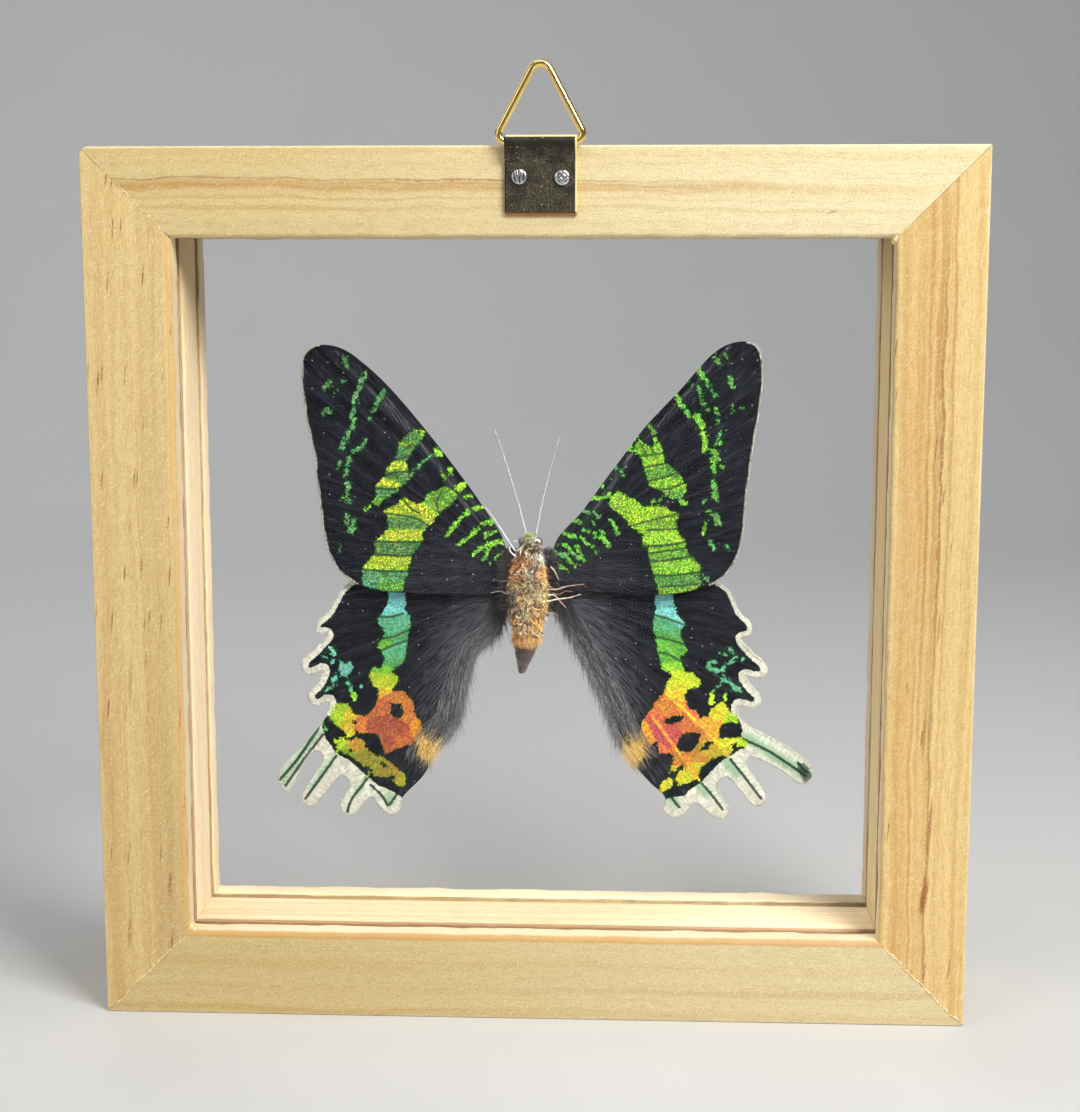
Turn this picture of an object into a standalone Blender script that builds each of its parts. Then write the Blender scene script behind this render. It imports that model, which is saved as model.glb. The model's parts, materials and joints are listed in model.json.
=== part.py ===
"""Framed sunset moth: a mitred pine frame with two glass panes, the moth between them, and a triangle hanger.

Run with: blender --background --python part.py
The model is in metres, +Z up. The frame stands on its bottom rail, centred on the origin in X and Y. The face
with the hanger looks along -Y. Lengths in the constants are millimetres, turned into metres by MM.
"""

import math

import bmesh
import bpy
from mathutils import Matrix, Vector

MM = 0.001

# Frame. The moulding is RAIL_WIDTH across the face and FRAME_DEPTH front to back, with a channel in its inner edge
# that holds pane, spacer and pane.
FRAME_SIDE = 152.0
FRAME_DEPTH = 27.0
RAIL_WIDTH = 15.2
LIP_DEPTH = 4.5
CHANNEL_CUT = 3.0
EDGE_ROUND = 0.9
GLASS_THICK = 2.0
GLASS_GAP = 0.3
MITRE_GAP = 0.3
SPACER_RECESS = 0.1

# Hanger: a folded strip with a barrel round the bottom bar of a wire triangle, held by two nails.
HANGER_X = 1.75
STRIP_WIDTH = 12.0
STRIP_THICK = 0.8
STRIP_DROP = 11.55
STRIP_GAP = 0.1
BARREL_RADIUS = 1.2
BORE_RADIUS = 0.8
PIVOT_RISE = 0.4
WIRE_RADIUS = 0.6
TRIANGLE_HALF_BASE = 7.9
TRIANGLE_HEIGHT = 14.7
BASE_BEND = 1.4
APEX_BEND = 1.75
WIRE_SIDES = 10
BEND_STEPS = 7
NAIL_SPACING = 7.15
NAIL_DROP = 5.2
RIGHT_NAIL_EXTRA_DROP = 0.15
NAIL_HEAD_RADIUS = 1.25
NAIL_HEAD_THICK = 0.55
NAIL_RIM = 0.3
NAIL_CROWN = ((0.8, 0.05), (0.3, 0.0))
NAIL_RADIUS = 0.55
NAIL_LENGTH = 9.0
NAIL_POINT = 1.2
NAIL_TIP_RADIUS = 0.25
NAIL_HOLE_RADIUS = 0.85
NAIL_HOLE_SPARE = 0.4

# Moth. The wings lie in the middle of the case, with the hindwings just behind the forewings.
WING_THICK = 0.4
FOREWING_Y = 0.0
HINDWING_Y = 0.9
ANTENNA_RADIUS = 0.2
ANTENNA_TIP_RADIUS = 0.1
ANTENNA_BASE_Y = -1.2
ANTENNA_TIP_Y = -0.6
ANTENNA_SIDES = 8

# Outlines of the wings, as (x, z) from the middle of the frame's base, drawn from the root round the front edge.
FOREWING_LEFT = [
    (-5.4, 83.6), (-9.2, 90.0), (-14.0, 96.8), (-20.0, 104.5), (-25.5, 110.9), (-30.0, 115.1),
    (-33.6, 117.6), (-37.0, 118.4), (-39.5, 117.9), (-40.7, 116.4), (-41.1, 113.0), (-40.7, 108.0),
    (-39.9, 103.0), (-39.0, 99.0), (-38.7, 95.0), (-38.2, 91.0), (-37.8, 87.0), (-37.2, 83.4),
    (-36.3, 80.6), (-35.0, 78.4), (-32.6, 76.3), (-30.4, 75.2), (-26.5, 74.5), (-22.5, 74.3),
    (-14.0, 74.0), (-8.0, 74.0), (-5.4, 75.0),
]
FOREWING_RIGHT = [
    (3.6, 83.2), (8.6, 89.4), (12.4, 94.7), (15.6, 99.0), (19.2, 103.9), (22.0, 107.0),
    (25.6, 110.8), (28.6, 114.3), (31.2, 117.0), (33.8, 118.6), (36.6, 119.1), (38.6, 118.5),
    (39.6, 116.6), (39.9, 112.5), (39.4, 107.0), (38.5, 101.5), (37.9, 96.5), (37.4, 92.5),
    (37.1, 88.0), (36.7, 84.5), (36.0, 81.6), (34.8, 79.2), (32.8, 77.0), (30.6, 75.9),
    (26.2, 74.8), (22.5, 74.3), (15.0, 74.5), (9.0, 74.7), (3.6, 75.4),
]
HINDWING_LEFT = [
    (-5.4, 77.6), (-15.0, 78.4), (-25.0, 78.2), (-31.4, 77.0), (-34.6, 74.6), (-35.9, 72.6),
    (-37.2, 70.4), (-39.5, 68.3), (-39.4, 66.8), (-37.4, 66.4), (-39.2, 64.2), (-42.0, 61.4),
    (-42.1, 59.8), (-40.8, 58.8), (-38.4, 59.8), (-39.3, 57.5), (-41.0, 55.6), (-40.9, 54.0),
    (-39.6, 53.1), (-37.4, 54.0), (-37.9, 51.4), (-39.0, 49.6), (-42.4, 45.6), (-46.9, 40.6),
    (-46.6, 38.2), (-45.0, 37.0), (-43.6, 39.6), (-41.3, 43.9), (-39.7, 44.8), (-38.6, 43.4),
    (-39.8, 41.0), (-42.6, 36.3), (-42.2, 34.8), (-40.7, 34.4), (-38.2, 37.2), (-35.3, 40.3),
    (-33.8, 38.4), (-35.6, 35.0), (-34.7, 32.9), (-33.3, 32.9), (-29.9, 36.3), (-28.4, 34.4),
    (-26.6, 33.0), (-24.6, 34.0), (-24.2, 36.1), (-20.3, 40.4), (-17.6, 45.6), (-14.2, 50.2),
    (-12.5, 55.4), (-12.2, 60.4), (-9.4, 64.2), (-6.2, 67.2), (-5.4, 72.0),
]
HINDWING_RIGHT = [
    (3.4, 77.6), (15.0, 78.4), (25.0, 78.2), (30.6, 77.2), (34.4, 75.0), (35.6, 72.8),
    (36.5, 71.0), (38.6, 68.8), (38.4, 67.0), (36.8, 66.4), (38.6, 64.0), (41.4, 61.4),
    (41.4, 59.8), (39.9, 59.1), (37.7, 59.5), (38.8, 57.6), (40.5, 55.8), (40.3, 54.2),
    (38.9, 53.6), (36.6, 54.0), (36.7, 51.8), (37.5, 50.8), (41.2, 48.8), (46.9, 45.6),
    (50.0, 42.6), (49.8, 40.8), (48.4, 39.6), (44.1, 42.4), (40.4, 44.2), (38.5, 44.6),
    (38.2, 42.9), (40.0, 40.3), (41.7, 37.2), (41.3, 36.0), (40.0, 35.4), (37.6, 37.8),
    (34.6, 40.8), (33.1, 39.6), (33.8, 37.1), (35.1, 34.8), (34.2, 33.1), (32.4, 33.4),
    (29.0, 35.8), (27.3, 34.0), (25.2, 33.1), (23.4, 34.6), (23.6, 36.8), (20.9, 39.5),
    (17.8, 43.0), (14.6, 48.2), (12.6, 53.6), (9.2, 61.0), (6.2, 66.8), (4.2, 71.0),
]

# Body sections from the head down: (z, middle x, half width, front y, back y).
BODY_SECTIONS = [
    (85.9, -0.7, 0.5, -2.2, -1.0),
    (85.1, -0.7, 1.3, -3.1, -0.2),
    (83.9, -0.7, 1.8, -3.8, 0.5),
    (82.7, -0.8, 2.1, -4.2, 1.0),
    (81.1, -0.9, 2.8, -4.7, 1.7),
    (78.9, -1.0, 3.6, -5.0, 2.4),
    (76.1, -1.1, 4.0, -5.1, 2.7),
    (73.3, -1.1, 3.9, -5.1, 2.6),
    (70.9, -1.2, 3.4, -5.0, 2.3),
    (68.3, -1.4, 2.8, -4.7, 1.9),
    (65.7, -1.6, 2.2, -4.2, 1.4),
    (63.1, -1.9, 1.6, -3.6, 0.9),
    (61.2, -2.2, 1.0, -3.0, 0.2),
    (60.0, -2.4, 0.4, -2.4, -0.6),
]
BODY_SIDES = 18

# Antennae: base and tip, as (x, z).
ANTENNA_LEFT = ((-1.7, 86.1), (-6.9, 103.6))
ANTENNA_RIGHT = ((0.6, 86.1), (4.3, 102.3))

# The dab of clear glue that holds the body to the pane on the hanger side. Each layer is its share of the half
# sizes and its y.
GLUE_CENTRE = (-1.1, 74.0)
GLUE_HALF = (2.6, 3.6)
GLUE_LAYERS = ((0.8, -6.4), (1.0, -6.1), (1.0, -5.8), (0.75, -5.4))
GLUE_SIDES = 24

ROUND_STEPS = 4
ROUND_SIDES = 16
BARREL_STEPS = 20


def clear_scene():
    for obj in list(bpy.data.objects):
        bpy.data.objects.remove(obj, do_unlink=True)


def material(name, color, roughness, metallic=0.0, alpha=1.0):
    made = bpy.data.materials.new(name)
    made.use_nodes = True
    shader = made.node_tree.nodes["Principled BSDF"]
    shader.inputs["Base Color"].default_value = (*color, 1.0)
    shader.inputs["Roughness"].default_value = roughness
    shader.inputs["Metallic"].default_value = metallic
    shader.inputs["Alpha"].default_value = alpha
    return made


def add_object(name, bm, finish, smooth_angle=None):
    """A new object from a bmesh in millimetres, with its normals pointing out."""
    bmesh.ops.recalc_face_normals(bm, faces=bm.faces)
    bmesh.ops.scale(bm, vec=(MM, MM, MM), verts=bm.verts)
    mesh = bpy.data.meshes.new(name)
    bm.to_mesh(mesh)
    bm.free()
    if smooth_angle is not None:
        mesh.shade_smooth()
        mesh.set_sharp_from_angle(angle=math.radians(smooth_angle))
    mesh.materials.append(finish)
    obj = bpy.data.objects.new(name, mesh)
    bpy.context.scene.collection.objects.link(obj)
    return obj


def circle(radius, sides):
    """The corners of a regular polygon about the origin."""
    turns = [2 * math.pi * k / sides for k in range(sides)]
    return [(radius * math.cos(t), radius * math.sin(t)) for t in turns]


def arc(centre, radius, start, end, steps):
    """Points of an arc in a plane, angles in degrees, both ends included."""
    turns = [math.radians(start + (end - start) * i / steps) for i in range(steps + 1)]
    return [(centre[0] + radius * math.cos(t), centre[1] + radius * math.sin(t)) for t in turns]


def loft(rings, cap=True):
    """A bmesh of quads between rings that have the same number of points."""
    bm = bmesh.new()
    loops = [[bm.verts.new(p) for p in ring] for ring in rings]
    for low, high in zip(loops, loops[1:]):
        for i in range(len(low)):
            j = (i + 1) % len(low)
            bm.faces.new((low[i], low[j], high[j], high[i]))
    if cap:
        bm.faces.new(loops[0])
        bm.faces.new(loops[-1])
    return bm


def moulding_profile():
    """The rail's section as (inward, y): a rounded bar with the channel cut in its inner edge."""
    half = FRAME_DEPTH / 2
    r = EDGE_ROUND
    inner = RAIL_WIDTH
    floor = RAIL_WIDTH - CHANNEL_CUT
    lip = half - LIP_DEPTH
    points = arc((r, -half + r), r, 180, 270, ROUND_STEPS)
    points += arc((inner - r, -half + r), r, 270, 360, ROUND_STEPS)
    points += [(inner, -lip), (floor, -lip), (floor, lip), (inner, lip)]
    points += arc((inner - r, half - r), r, 0, 90, ROUND_STEPS)
    points += arc((r, half - r), r, 90, 180, ROUND_STEPS)
    return points


def spacer_profile():
    """The section of the strip between the panes, as (inward, y)."""
    outer = RAIL_WIDTH - CHANNEL_CUT + GLASS_GAP
    inner = RAIL_WIDTH - SPACER_RECESS
    half = FRAME_DEPTH / 2 - LIP_DEPTH - GLASS_THICK - 2 * GLASS_GAP
    return [(outer, -half), (inner, -half), (inner, half), (outer, half)]


def mitred_bar(profile):
    """A bar along X at the bottom of the frame, with both ends cut at 45 degrees."""
    centre = FRAME_SIDE / 2
    gap = MITRE_GAP / 2
    left = [(-(centre - u) + gap, y, u) for u, y in profile]
    right = [((centre - u) - gap, y, u) for u, y in profile]
    return loft([left, right])


def frame_sides(name, profile, finish):
    """Four mitred bars. Each is made at the bottom and turned about the frame's middle axis."""
    middle = Vector((0, 0, FRAME_SIDE / 2 * MM))
    sides = {}
    for side, quarter in (("bottom", 0), ("right", 1), ("top", 2), ("left", 3)):
        obj = add_object(f"{side}_{name}", mitred_bar(profile), finish)
        turn = Matrix.Rotation(-quarter * math.pi / 2, 4, "Y")
        obj.matrix_world = Matrix.Translation(middle) @ turn @ Matrix.Translation(-middle)
        sides[side] = obj
    return sides


def pane(name, y_low, finish):
    inset = RAIL_WIDTH - CHANNEL_CUT + GLASS_GAP
    half = FRAME_SIDE / 2 - inset
    bm = bmesh.new()
    bmesh.ops.create_cube(bm, size=1.0)
    bmesh.ops.scale(bm, vec=(2 * half, GLASS_THICK, 2 * half), verts=bm.verts)
    place = (0, y_low + GLASS_THICK / 2, FRAME_SIDE / 2)
    bmesh.ops.translate(bm, vec=place, verts=bm.verts)
    return add_object(name, bm, finish)


def round_bar(radius, start, end):
    """A closed cylinder from start to end, as a bmesh in millimetres."""
    start, end = Vector(start), Vector(end)
    turn = (end - start).to_track_quat("Z", "Y").to_matrix().to_4x4()
    bm = bmesh.new()
    bmesh.ops.create_cone(
        bm, cap_ends=True, segments=ROUND_SIDES, radius1=radius, radius2=radius, depth=(end - start).length
    )
    bmesh.ops.transform(bm, matrix=Matrix.Translation((start + end) / 2) @ turn, verts=bm.verts)
    return bm


def cut(obj, name, bm, finish):
    """Subtracts a closed shape from obj. The cutter stays in the file as a hidden wire."""
    cutter = add_object(name, bm, finish)
    cutter.hide_render = True
    cutter.display_type = "WIRE"
    modifier = obj.modifiers.new(name, "BOOLEAN")
    modifier.operation = "DIFFERENCE"
    modifier.object = cutter


def nail_places():
    """(side name, x, z) of each nail. The right one was driven a little lower."""
    z = FRAME_SIDE - NAIL_DROP
    half = NAIL_SPACING / 2
    return [("left", HANGER_X - half, z), ("right", HANGER_X + half, z - RIGHT_NAIL_EXTRA_DROP)]


def strip_faces():
    """y of the strip's back and front, where its two leaves lie together on the wood."""
    back = -FRAME_DEPTH / 2 - STRIP_GAP
    return back, back - STRIP_THICK


def pivot():
    """(y, z) of the axis that the triangle turns on."""
    back, _ = strip_faces()
    return back - BARREL_RADIUS, FRAME_SIDE + PIVOT_RISE


def hanger_strip(finish):
    """The folded strip: its section goes up the back, round the barrel and down the front leaf."""
    back, front = strip_faces()
    y, z = pivot()
    bottom = FRAME_SIDE - STRIP_DROP
    meets = 360 - math.degrees(math.acos((front - y) / BARREL_RADIUS))
    section = [(back, bottom)] + arc((y, z), BARREL_RADIUS, 0, meets, BARREL_STEPS) + [(front, bottom)]
    rings = [[(x, p[0], p[1]) for p in section] for x in (HANGER_X - STRIP_WIDTH / 2, HANGER_X + STRIP_WIDTH / 2)]
    strip = add_object("hanger_strip", loft(rings), finish, smooth_angle=30)
    reach = STRIP_WIDTH
    bore = round_bar(BORE_RADIUS, (HANGER_X - reach, y, z), (HANGER_X + reach, y, z))
    cut(strip, "bore_cutter", bore, finish)
    return strip


def triangle_path():
    """Centreline of the wire triangle as (x, z), with round bends at its three corners."""
    _, z = pivot()
    corners = [
        (Vector((HANGER_X - TRIANGLE_HALF_BASE, z)), BASE_BEND),
        (Vector((HANGER_X + TRIANGLE_HALF_BASE, z)), BASE_BEND),
        (Vector((HANGER_X, z + TRIANGLE_HEIGHT)), APEX_BEND),
    ]
    path = []
    for i, (corner, radius) in enumerate(corners):
        before = (corners[i - 1][0] - corner).normalized()
        after = (corners[(i + 1) % 3][0] - corner).normalized()
        half = before.angle(after) / 2
        centre = corner + (before + after).normalized() * radius / math.sin(half)
        first = corner + before * radius / math.tan(half) - centre
        turn = math.pi - 2 * half
        for k in range(BEND_STEPS + 1):
            a = turn * k / BEND_STEPS
            spoke = Vector((first.x * math.cos(a) - first.y * math.sin(a),
                            first.x * math.sin(a) + first.y * math.cos(a)))
            path.append(centre + spoke)
    return path


def hanger_triangle(finish):
    """A closed wire loop: rings of points along the path, each square to it."""
    y, _ = pivot()
    path = triangle_path()
    rings = []
    for i, point in enumerate(path):
        along = (path[(i + 1) % len(path)] - path[i - 1]).normalized()
        out = Vector((along.y, -along.x))
        ring = []
        for across, deep in circle(WIRE_RADIUS, WIRE_SIDES):
            flat = point + out * across
            ring.append((flat.x, y + deep, flat.y))
        rings.append(ring)
    bm = loft(rings + [rings[0]], cap=False)
    bmesh.ops.remove_doubles(bm, verts=bm.verts, dist=0.001)
    return add_object("hanger_triangle", bm, finish, smooth_angle=60)


def nail(side, x, z, finish):
    """A turned nail: a low domed head in front of the strip and a shank into the rail."""
    _, front = strip_faces()
    seat = front - STRIP_GAP
    head = seat - NAIL_HEAD_THICK
    tip = seat + NAIL_LENGTH
    turned = [
        (NAIL_TIP_RADIUS, tip), (NAIL_RADIUS, tip - NAIL_POINT), (NAIL_RADIUS, seat),
        (NAIL_HEAD_RADIUS, seat), (NAIL_HEAD_RADIUS, seat - NAIL_RIM),
    ]
    turned += [(radius, head + dip) for radius, dip in NAIL_CROWN]
    rings = [[(x + u, y, z + v) for u, v in circle(radius, ROUND_SIDES)] for radius, y in turned]
    return add_object(f"nail_{side}", loft(rings), finish, smooth_angle=40)


def wing(name, outline, middle_y, finish):
    """A thin plate with the wing's outline."""
    rings = [[(x, y, z) for x, z in outline] for y in (middle_y - WING_THICK / 2, middle_y + WING_THICK / 2)]
    return add_object(name, loft(rings), finish)


def body(finish):
    """Head, thorax and abdomen as one lofted shape of oval sections."""
    rings = []
    for z, x, half, front, back in BODY_SECTIONS:
        depth = (back - front) / 2
        rings.append([(x + half * u, (front + back) / 2 + depth * v, z) for u, v in circle(1.0, BODY_SIDES)])
    return add_object("body", loft(rings), finish, smooth_angle=60)


def antenna(name, base, tip, finish):
    """A straight bristle that tapers to its tip."""
    start = Vector((base[0], ANTENNA_BASE_Y, base[1]))
    end = Vector((tip[0], ANTENNA_TIP_Y, tip[1]))
    bm = bmesh.new()
    turn = (end - start).to_track_quat("Z", "Y").to_matrix().to_4x4()
    bmesh.ops.create_cone(
        bm, cap_ends=True, segments=ANTENNA_SIDES, radius1=ANTENNA_RADIUS, radius2=ANTENNA_TIP_RADIUS,
        depth=(end - start).length,
    )
    bmesh.ops.transform(bm, matrix=Matrix.Translation((start + end) / 2) @ turn, verts=bm.verts)
    return add_object(name, bm, finish)


def glue_dab(finish):
    """A flattened drop between the underside of the body and the pane."""
    (x, z), (across, up) = GLUE_CENTRE, GLUE_HALF
    rings = []
    for share, y in GLUE_LAYERS:
        rings.append([(x + across * u, y, z + up * v) for u, v in circle(share, GLUE_SIDES)])
    return add_object("glue_dab", loft(rings), finish, smooth_angle=60)


def main():
    clear_scene()
    pine = material("pine", (0.76, 0.58, 0.34), 0.55)
    pale_pine = material("pale_pine", (0.83, 0.72, 0.54), 0.6)
    glass = material("clear_glass", (0.95, 0.98, 0.97), 0.02, alpha=0.2)
    brass = material("brass_plate", (0.62, 0.48, 0.22), 0.25, metallic=1.0)
    steel = material("nail_steel", (0.7, 0.7, 0.72), 0.3, metallic=1.0)
    wing_scales = material("wing_scales", (0.03, 0.03, 0.035), 0.5)
    fur = material("body_fur", (0.55, 0.36, 0.18), 0.8)
    bristle = material("antenna_bristle", (0.25, 0.23, 0.22), 0.6)
    clear_glue = material("clear_glue", (0.9, 0.9, 0.88), 0.1, alpha=0.4)

    rails = frame_sides("rail", moulding_profile(), pine)
    frame_sides("spacer", spacer_profile(), pale_pine)
    inner_face = FRAME_DEPTH / 2 - LIP_DEPTH - GLASS_GAP - GLASS_THICK
    pane("glass_hanger_side", -inner_face - GLASS_THICK, glass)
    pane("glass_display_side", inner_face, glass)

    strip = hanger_strip(brass)
    hanger_triangle(brass)
    _, front = strip_faces()
    hole_end = front - STRIP_GAP + NAIL_LENGTH + NAIL_HOLE_SPARE
    for side, x, z in nail_places():
        nail(side, x, z, steel)
        for target, label in ((strip, "strip"), (rails["top"], "rail")):
            hole = round_bar(NAIL_HOLE_RADIUS, (x, front - NAIL_HEAD_RADIUS, z), (x, hole_end, z))
            cut(target, f"{label}_{side}_nail_cutter", hole, steel)

    wing("forewing_left", FOREWING_LEFT, FOREWING_Y, wing_scales)
    wing("forewing_right", FOREWING_RIGHT, FOREWING_Y, wing_scales)
    wing("hindwing_left", HINDWING_LEFT, HINDWING_Y, wing_scales)
    wing("hindwing_right", HINDWING_RIGHT, HINDWING_Y, wing_scales)
    body(fur)
    antenna("antenna_left", *ANTENNA_LEFT, bristle)
    antenna("antenna_right", *ANTENNA_RIGHT, bristle)
    glue_dab(clear_glue)


main()
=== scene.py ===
import json
import math

import bpy
import numpy as np
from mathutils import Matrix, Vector
from mathutils.geometry import delaunay_2d_cdt


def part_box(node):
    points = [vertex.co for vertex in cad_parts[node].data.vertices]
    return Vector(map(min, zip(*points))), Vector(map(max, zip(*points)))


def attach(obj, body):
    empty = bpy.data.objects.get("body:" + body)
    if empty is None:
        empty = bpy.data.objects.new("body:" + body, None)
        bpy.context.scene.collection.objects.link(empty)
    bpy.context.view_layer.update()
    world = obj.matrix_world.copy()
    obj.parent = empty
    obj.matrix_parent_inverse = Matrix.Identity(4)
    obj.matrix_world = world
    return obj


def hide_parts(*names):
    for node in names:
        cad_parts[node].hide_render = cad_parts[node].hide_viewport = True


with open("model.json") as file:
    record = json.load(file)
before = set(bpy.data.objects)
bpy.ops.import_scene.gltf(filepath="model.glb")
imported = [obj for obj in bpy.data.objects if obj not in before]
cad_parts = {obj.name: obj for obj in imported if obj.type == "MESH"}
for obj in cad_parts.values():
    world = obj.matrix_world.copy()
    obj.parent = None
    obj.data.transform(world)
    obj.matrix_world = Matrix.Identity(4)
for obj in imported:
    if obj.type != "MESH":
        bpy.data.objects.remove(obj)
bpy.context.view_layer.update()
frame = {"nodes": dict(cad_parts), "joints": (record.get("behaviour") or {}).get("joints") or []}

MM = 0.001


# ----------------------------------------------------------------------------------------------------
# Numbers and shapes. Lengths are millimetres in the row frame.
# ----------------------------------------------------------------------------------------------------

def box_mm(node):
    low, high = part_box(node)
    return np.array(low) / MM, np.array(high) / MM


def srgb(*levels):
    """A linear colour from sRGB levels of 0 to 255."""
    shares = [v / 255 for v in levels]
    return tuple(s / 12.92 if s <= 0.04045 else ((s + 0.055) / 1.055) ** 2.4 for s in shares)


def unit(vectors, least=0.0):
    """The same directions, each one long."""
    return vectors / (np.linalg.norm(vectors, axis=-1, keepdims=True) + least)


def arc(centre, radius, start, end, steps):
    """Points on an arc between two angles in degrees."""
    turns = np.radians(np.linspace(start, end, steps + 1))
    return [(centre[0] + radius * math.cos(t), centre[1] + radius * math.sin(t)) for t in turns]


def smooth_step(low, high, value):
    t = np.clip((np.asarray(value, float) - low) / (high - low), 0, 1)
    return t * t * (3 - 2 * t)


def ripple(x, z, seed, size=1.0):
    """Smooth unevenness between about -1 and 1, whose features are about size across."""
    rng = np.random.default_rng(seed)
    total = np.zeros(np.broadcast(x, z).shape)
    for _ in range(7):
        turn, phase = rng.uniform(0, 2 * math.pi, 2)
        pitch = size * rng.uniform(0.6, 1.8)
        total = total + np.sin(2 * math.pi * (x * math.cos(turn) + z * math.sin(turn)) / pitch + phase)
    return total / 7 * 1.9


def closed_curve(points, step):
    """Points about step apart on a smooth closed curve through the given ones (centripetal Catmull-Rom)."""
    p = np.array(points, float)
    out = []
    for i in range(len(p)):
        a, b, c, d = p[i - 1], p[i], p[(i + 1) % len(p)], p[(i + 2) % len(p)]
        k1 = np.linalg.norm(b - a) ** 0.5
        k2 = k1 + np.linalg.norm(c - b) ** 0.5
        k3 = k2 + np.linalg.norm(d - c) ** 0.5
        count = max(1, round(np.linalg.norm(c - b) / step))
        for t in k1 + (k2 - k1) * np.arange(count) / count:
            ab = a * (k1 - t) / k1 + b * t / k1
            bc = b * (k2 - t) / (k2 - k1) + c * (t - k1) / (k2 - k1)
            cd = c * (k3 - t) / (k3 - k2) + d * (t - k2) / (k3 - k2)
            abc = ab * (k2 - t) / k2 + bc * t / k2
            bcd = bc * (k3 - t) / (k3 - k1) + cd * (t - k1) / (k3 - k1)
            out.append(abc * (k2 - t) / (k2 - k1) + bcd * (t - k1) / (k2 - k1))
    return np.array(out)


def open_curve(points, step):
    """The same for an open line: its ends are kept."""
    p = [np.array(q, float) for q in points]
    p = [2 * p[0] - p[1], *p, 2 * p[-1] - p[-2]]
    out = []
    for a, b, c, d in zip(p, p[1:], p[2:], p[3:]):
        bend = 2 * a - 5 * b + 4 * c - d
        twist = 3 * b - a - 3 * c + d
        count = max(1, round(np.linalg.norm(c - b) / step))
        for t in np.arange(count) / count:
            out.append(0.5 * (2 * b + (c - a) * t + bend * t * t + twist * t ** 3))
    out.append(p[-2])
    return np.array(out)


def segment_distance(points, a, b):
    """(distance, share along) of each point from the segment a-b."""
    along = b - a
    t = np.clip((points - a) @ along / max(along @ along, 1e-12), 0, 1)
    return np.linalg.norm(points - a - t[:, None] * along, axis=1), t


def line_distance(points, line, half=0.0):
    """Distance from a line of points, less its half width, which may be one number or one at each point."""
    line = np.array(line, float)
    halves = np.broadcast_to(half, len(line))
    best = np.full(len(points), 1e9)
    for i in range(len(line) - 1):
        gap, t = segment_distance(points, line[i], line[i + 1])
        best = np.minimum(best, gap - (halves[i] + (halves[i + 1] - halves[i]) * t))
    return best


def inside(points, polygon):
    x, z = points[:, 0], points[:, 1]
    found = np.zeros(len(points), bool)
    for a, b in zip(polygon, np.roll(polygon, -1, axis=0)):
        crosses = (a[1] > z) != (b[1] > z)
        rise = b[1] - a[1] if b[1] != a[1] else 1e-12
        found ^= crosses & (x < a[0] + (z - a[1]) * (b[0] - a[0]) / rise)
    return found


def polygon_distance(points, polygon):
    """Signed distance from a closed polygon: negative inside."""
    polygon = np.array(polygon, float)
    best = line_distance(points, np.vstack([polygon, polygon[:1]]))
    return np.where(inside(points, polygon), -best, best)


def outline_distance(points, outline):
    """(distance inside, arc length at the nearest point) for a dense closed outline."""
    best, arc, run = np.full(len(points), 1e9), np.zeros(len(points)), 0.0
    for a, b in zip(outline, np.roll(outline, -1, axis=0)):
        gap, t = segment_distance(points, a, b)
        length = np.linalg.norm(b - a)
        near = gap < best
        best = np.where(near, gap, best)
        arc = np.where(near, run + t * length, arc)
        run += length
    return best, arc


# ----------------------------------------------------------------------------------------------------
# Meshes and pieces
# ----------------------------------------------------------------------------------------------------

def new_piece(name, points, faces, finish, body="frame", stands_for=(), sharp=None):
    """A mesh from points in millimetres, riding on a CAD body."""
    mesh = bpy.data.meshes.new(name)
    mesh.from_pydata((np.asarray(points, float) * MM).tolist(), [], faces)
    mesh.shade_smooth()
    if sharp is not None:
        mesh.set_sharp_from_angle(angle=math.radians(sharp))
    mesh.materials.append(finish)
    obj = bpy.data.objects.new(name, mesh)
    bpy.context.scene.collection.objects.link(obj)
    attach(obj, body)
    if stands_for:
        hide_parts(*stands_for)
    return obj


def give_values(obj, **values):
    """One number at each vertex, for the material to read."""
    for name, numbers in values.items():
        made = obj.data.attributes.new(name, "FLOAT", "POINT")
        made.data.foreach_set("value", np.asarray(numbers, np.float32))


def give_tint(obj, colors):
    made = obj.data.attributes.new("tint", "FLOAT_COLOR", "POINT")
    rgba = np.ones((len(colors), 4), np.float32)
    rgba[:, :3] = colors
    made.data.foreach_set("color", rgba.ravel())


def join_shapes(shapes):
    """Points and faces of several shapes as one."""
    points, faces, start = [], [], 0
    for some, polys in shapes:
        points.append(np.asarray(some, float))
        faces += [tuple(i + start for i in poly) for poly in polys]
        start += len(some)
    return np.vstack(points), faces


def skin(rings, closed=False):
    """Faces between rings of points: capped at both ends, or closed into a loop."""
    count, sides = len(rings), len(rings[0])
    faces = []
    for r in range(count if closed else count - 1):
        low, high = r * sides, (r + 1) % count * sides
        faces += [(low + i, low + (i + 1) % sides, high + (i + 1) % sides, high + i) for i in range(sides)]
    if not closed:
        faces += [tuple(reversed(range(sides))), tuple(range((count - 1) * sides, count * sides))]
    return np.vstack(rings), faces


def tube(path, radii, sides=10):
    """A round tube along a path of 3-D points."""
    path = np.array(path, float)
    along = unit(np.gradient(path, axis=0))
    helper = np.array([0.0, 1.0, 0.0]) if abs(along[0][1]) < 0.9 else np.array([1.0, 0.0, 0.0])
    turns = np.linspace(0, 2 * math.pi, sides, endpoint=False)
    rings = []
    for p, d, r in zip(path, along, np.broadcast_to(radii, len(path))):
        side = unit(np.cross(d, helper))
        up = np.cross(side, d)
        rings.append(p + r * (np.cos(turns)[:, None] * side + np.sin(turns)[:, None] * up))
    return skin(rings)


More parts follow.
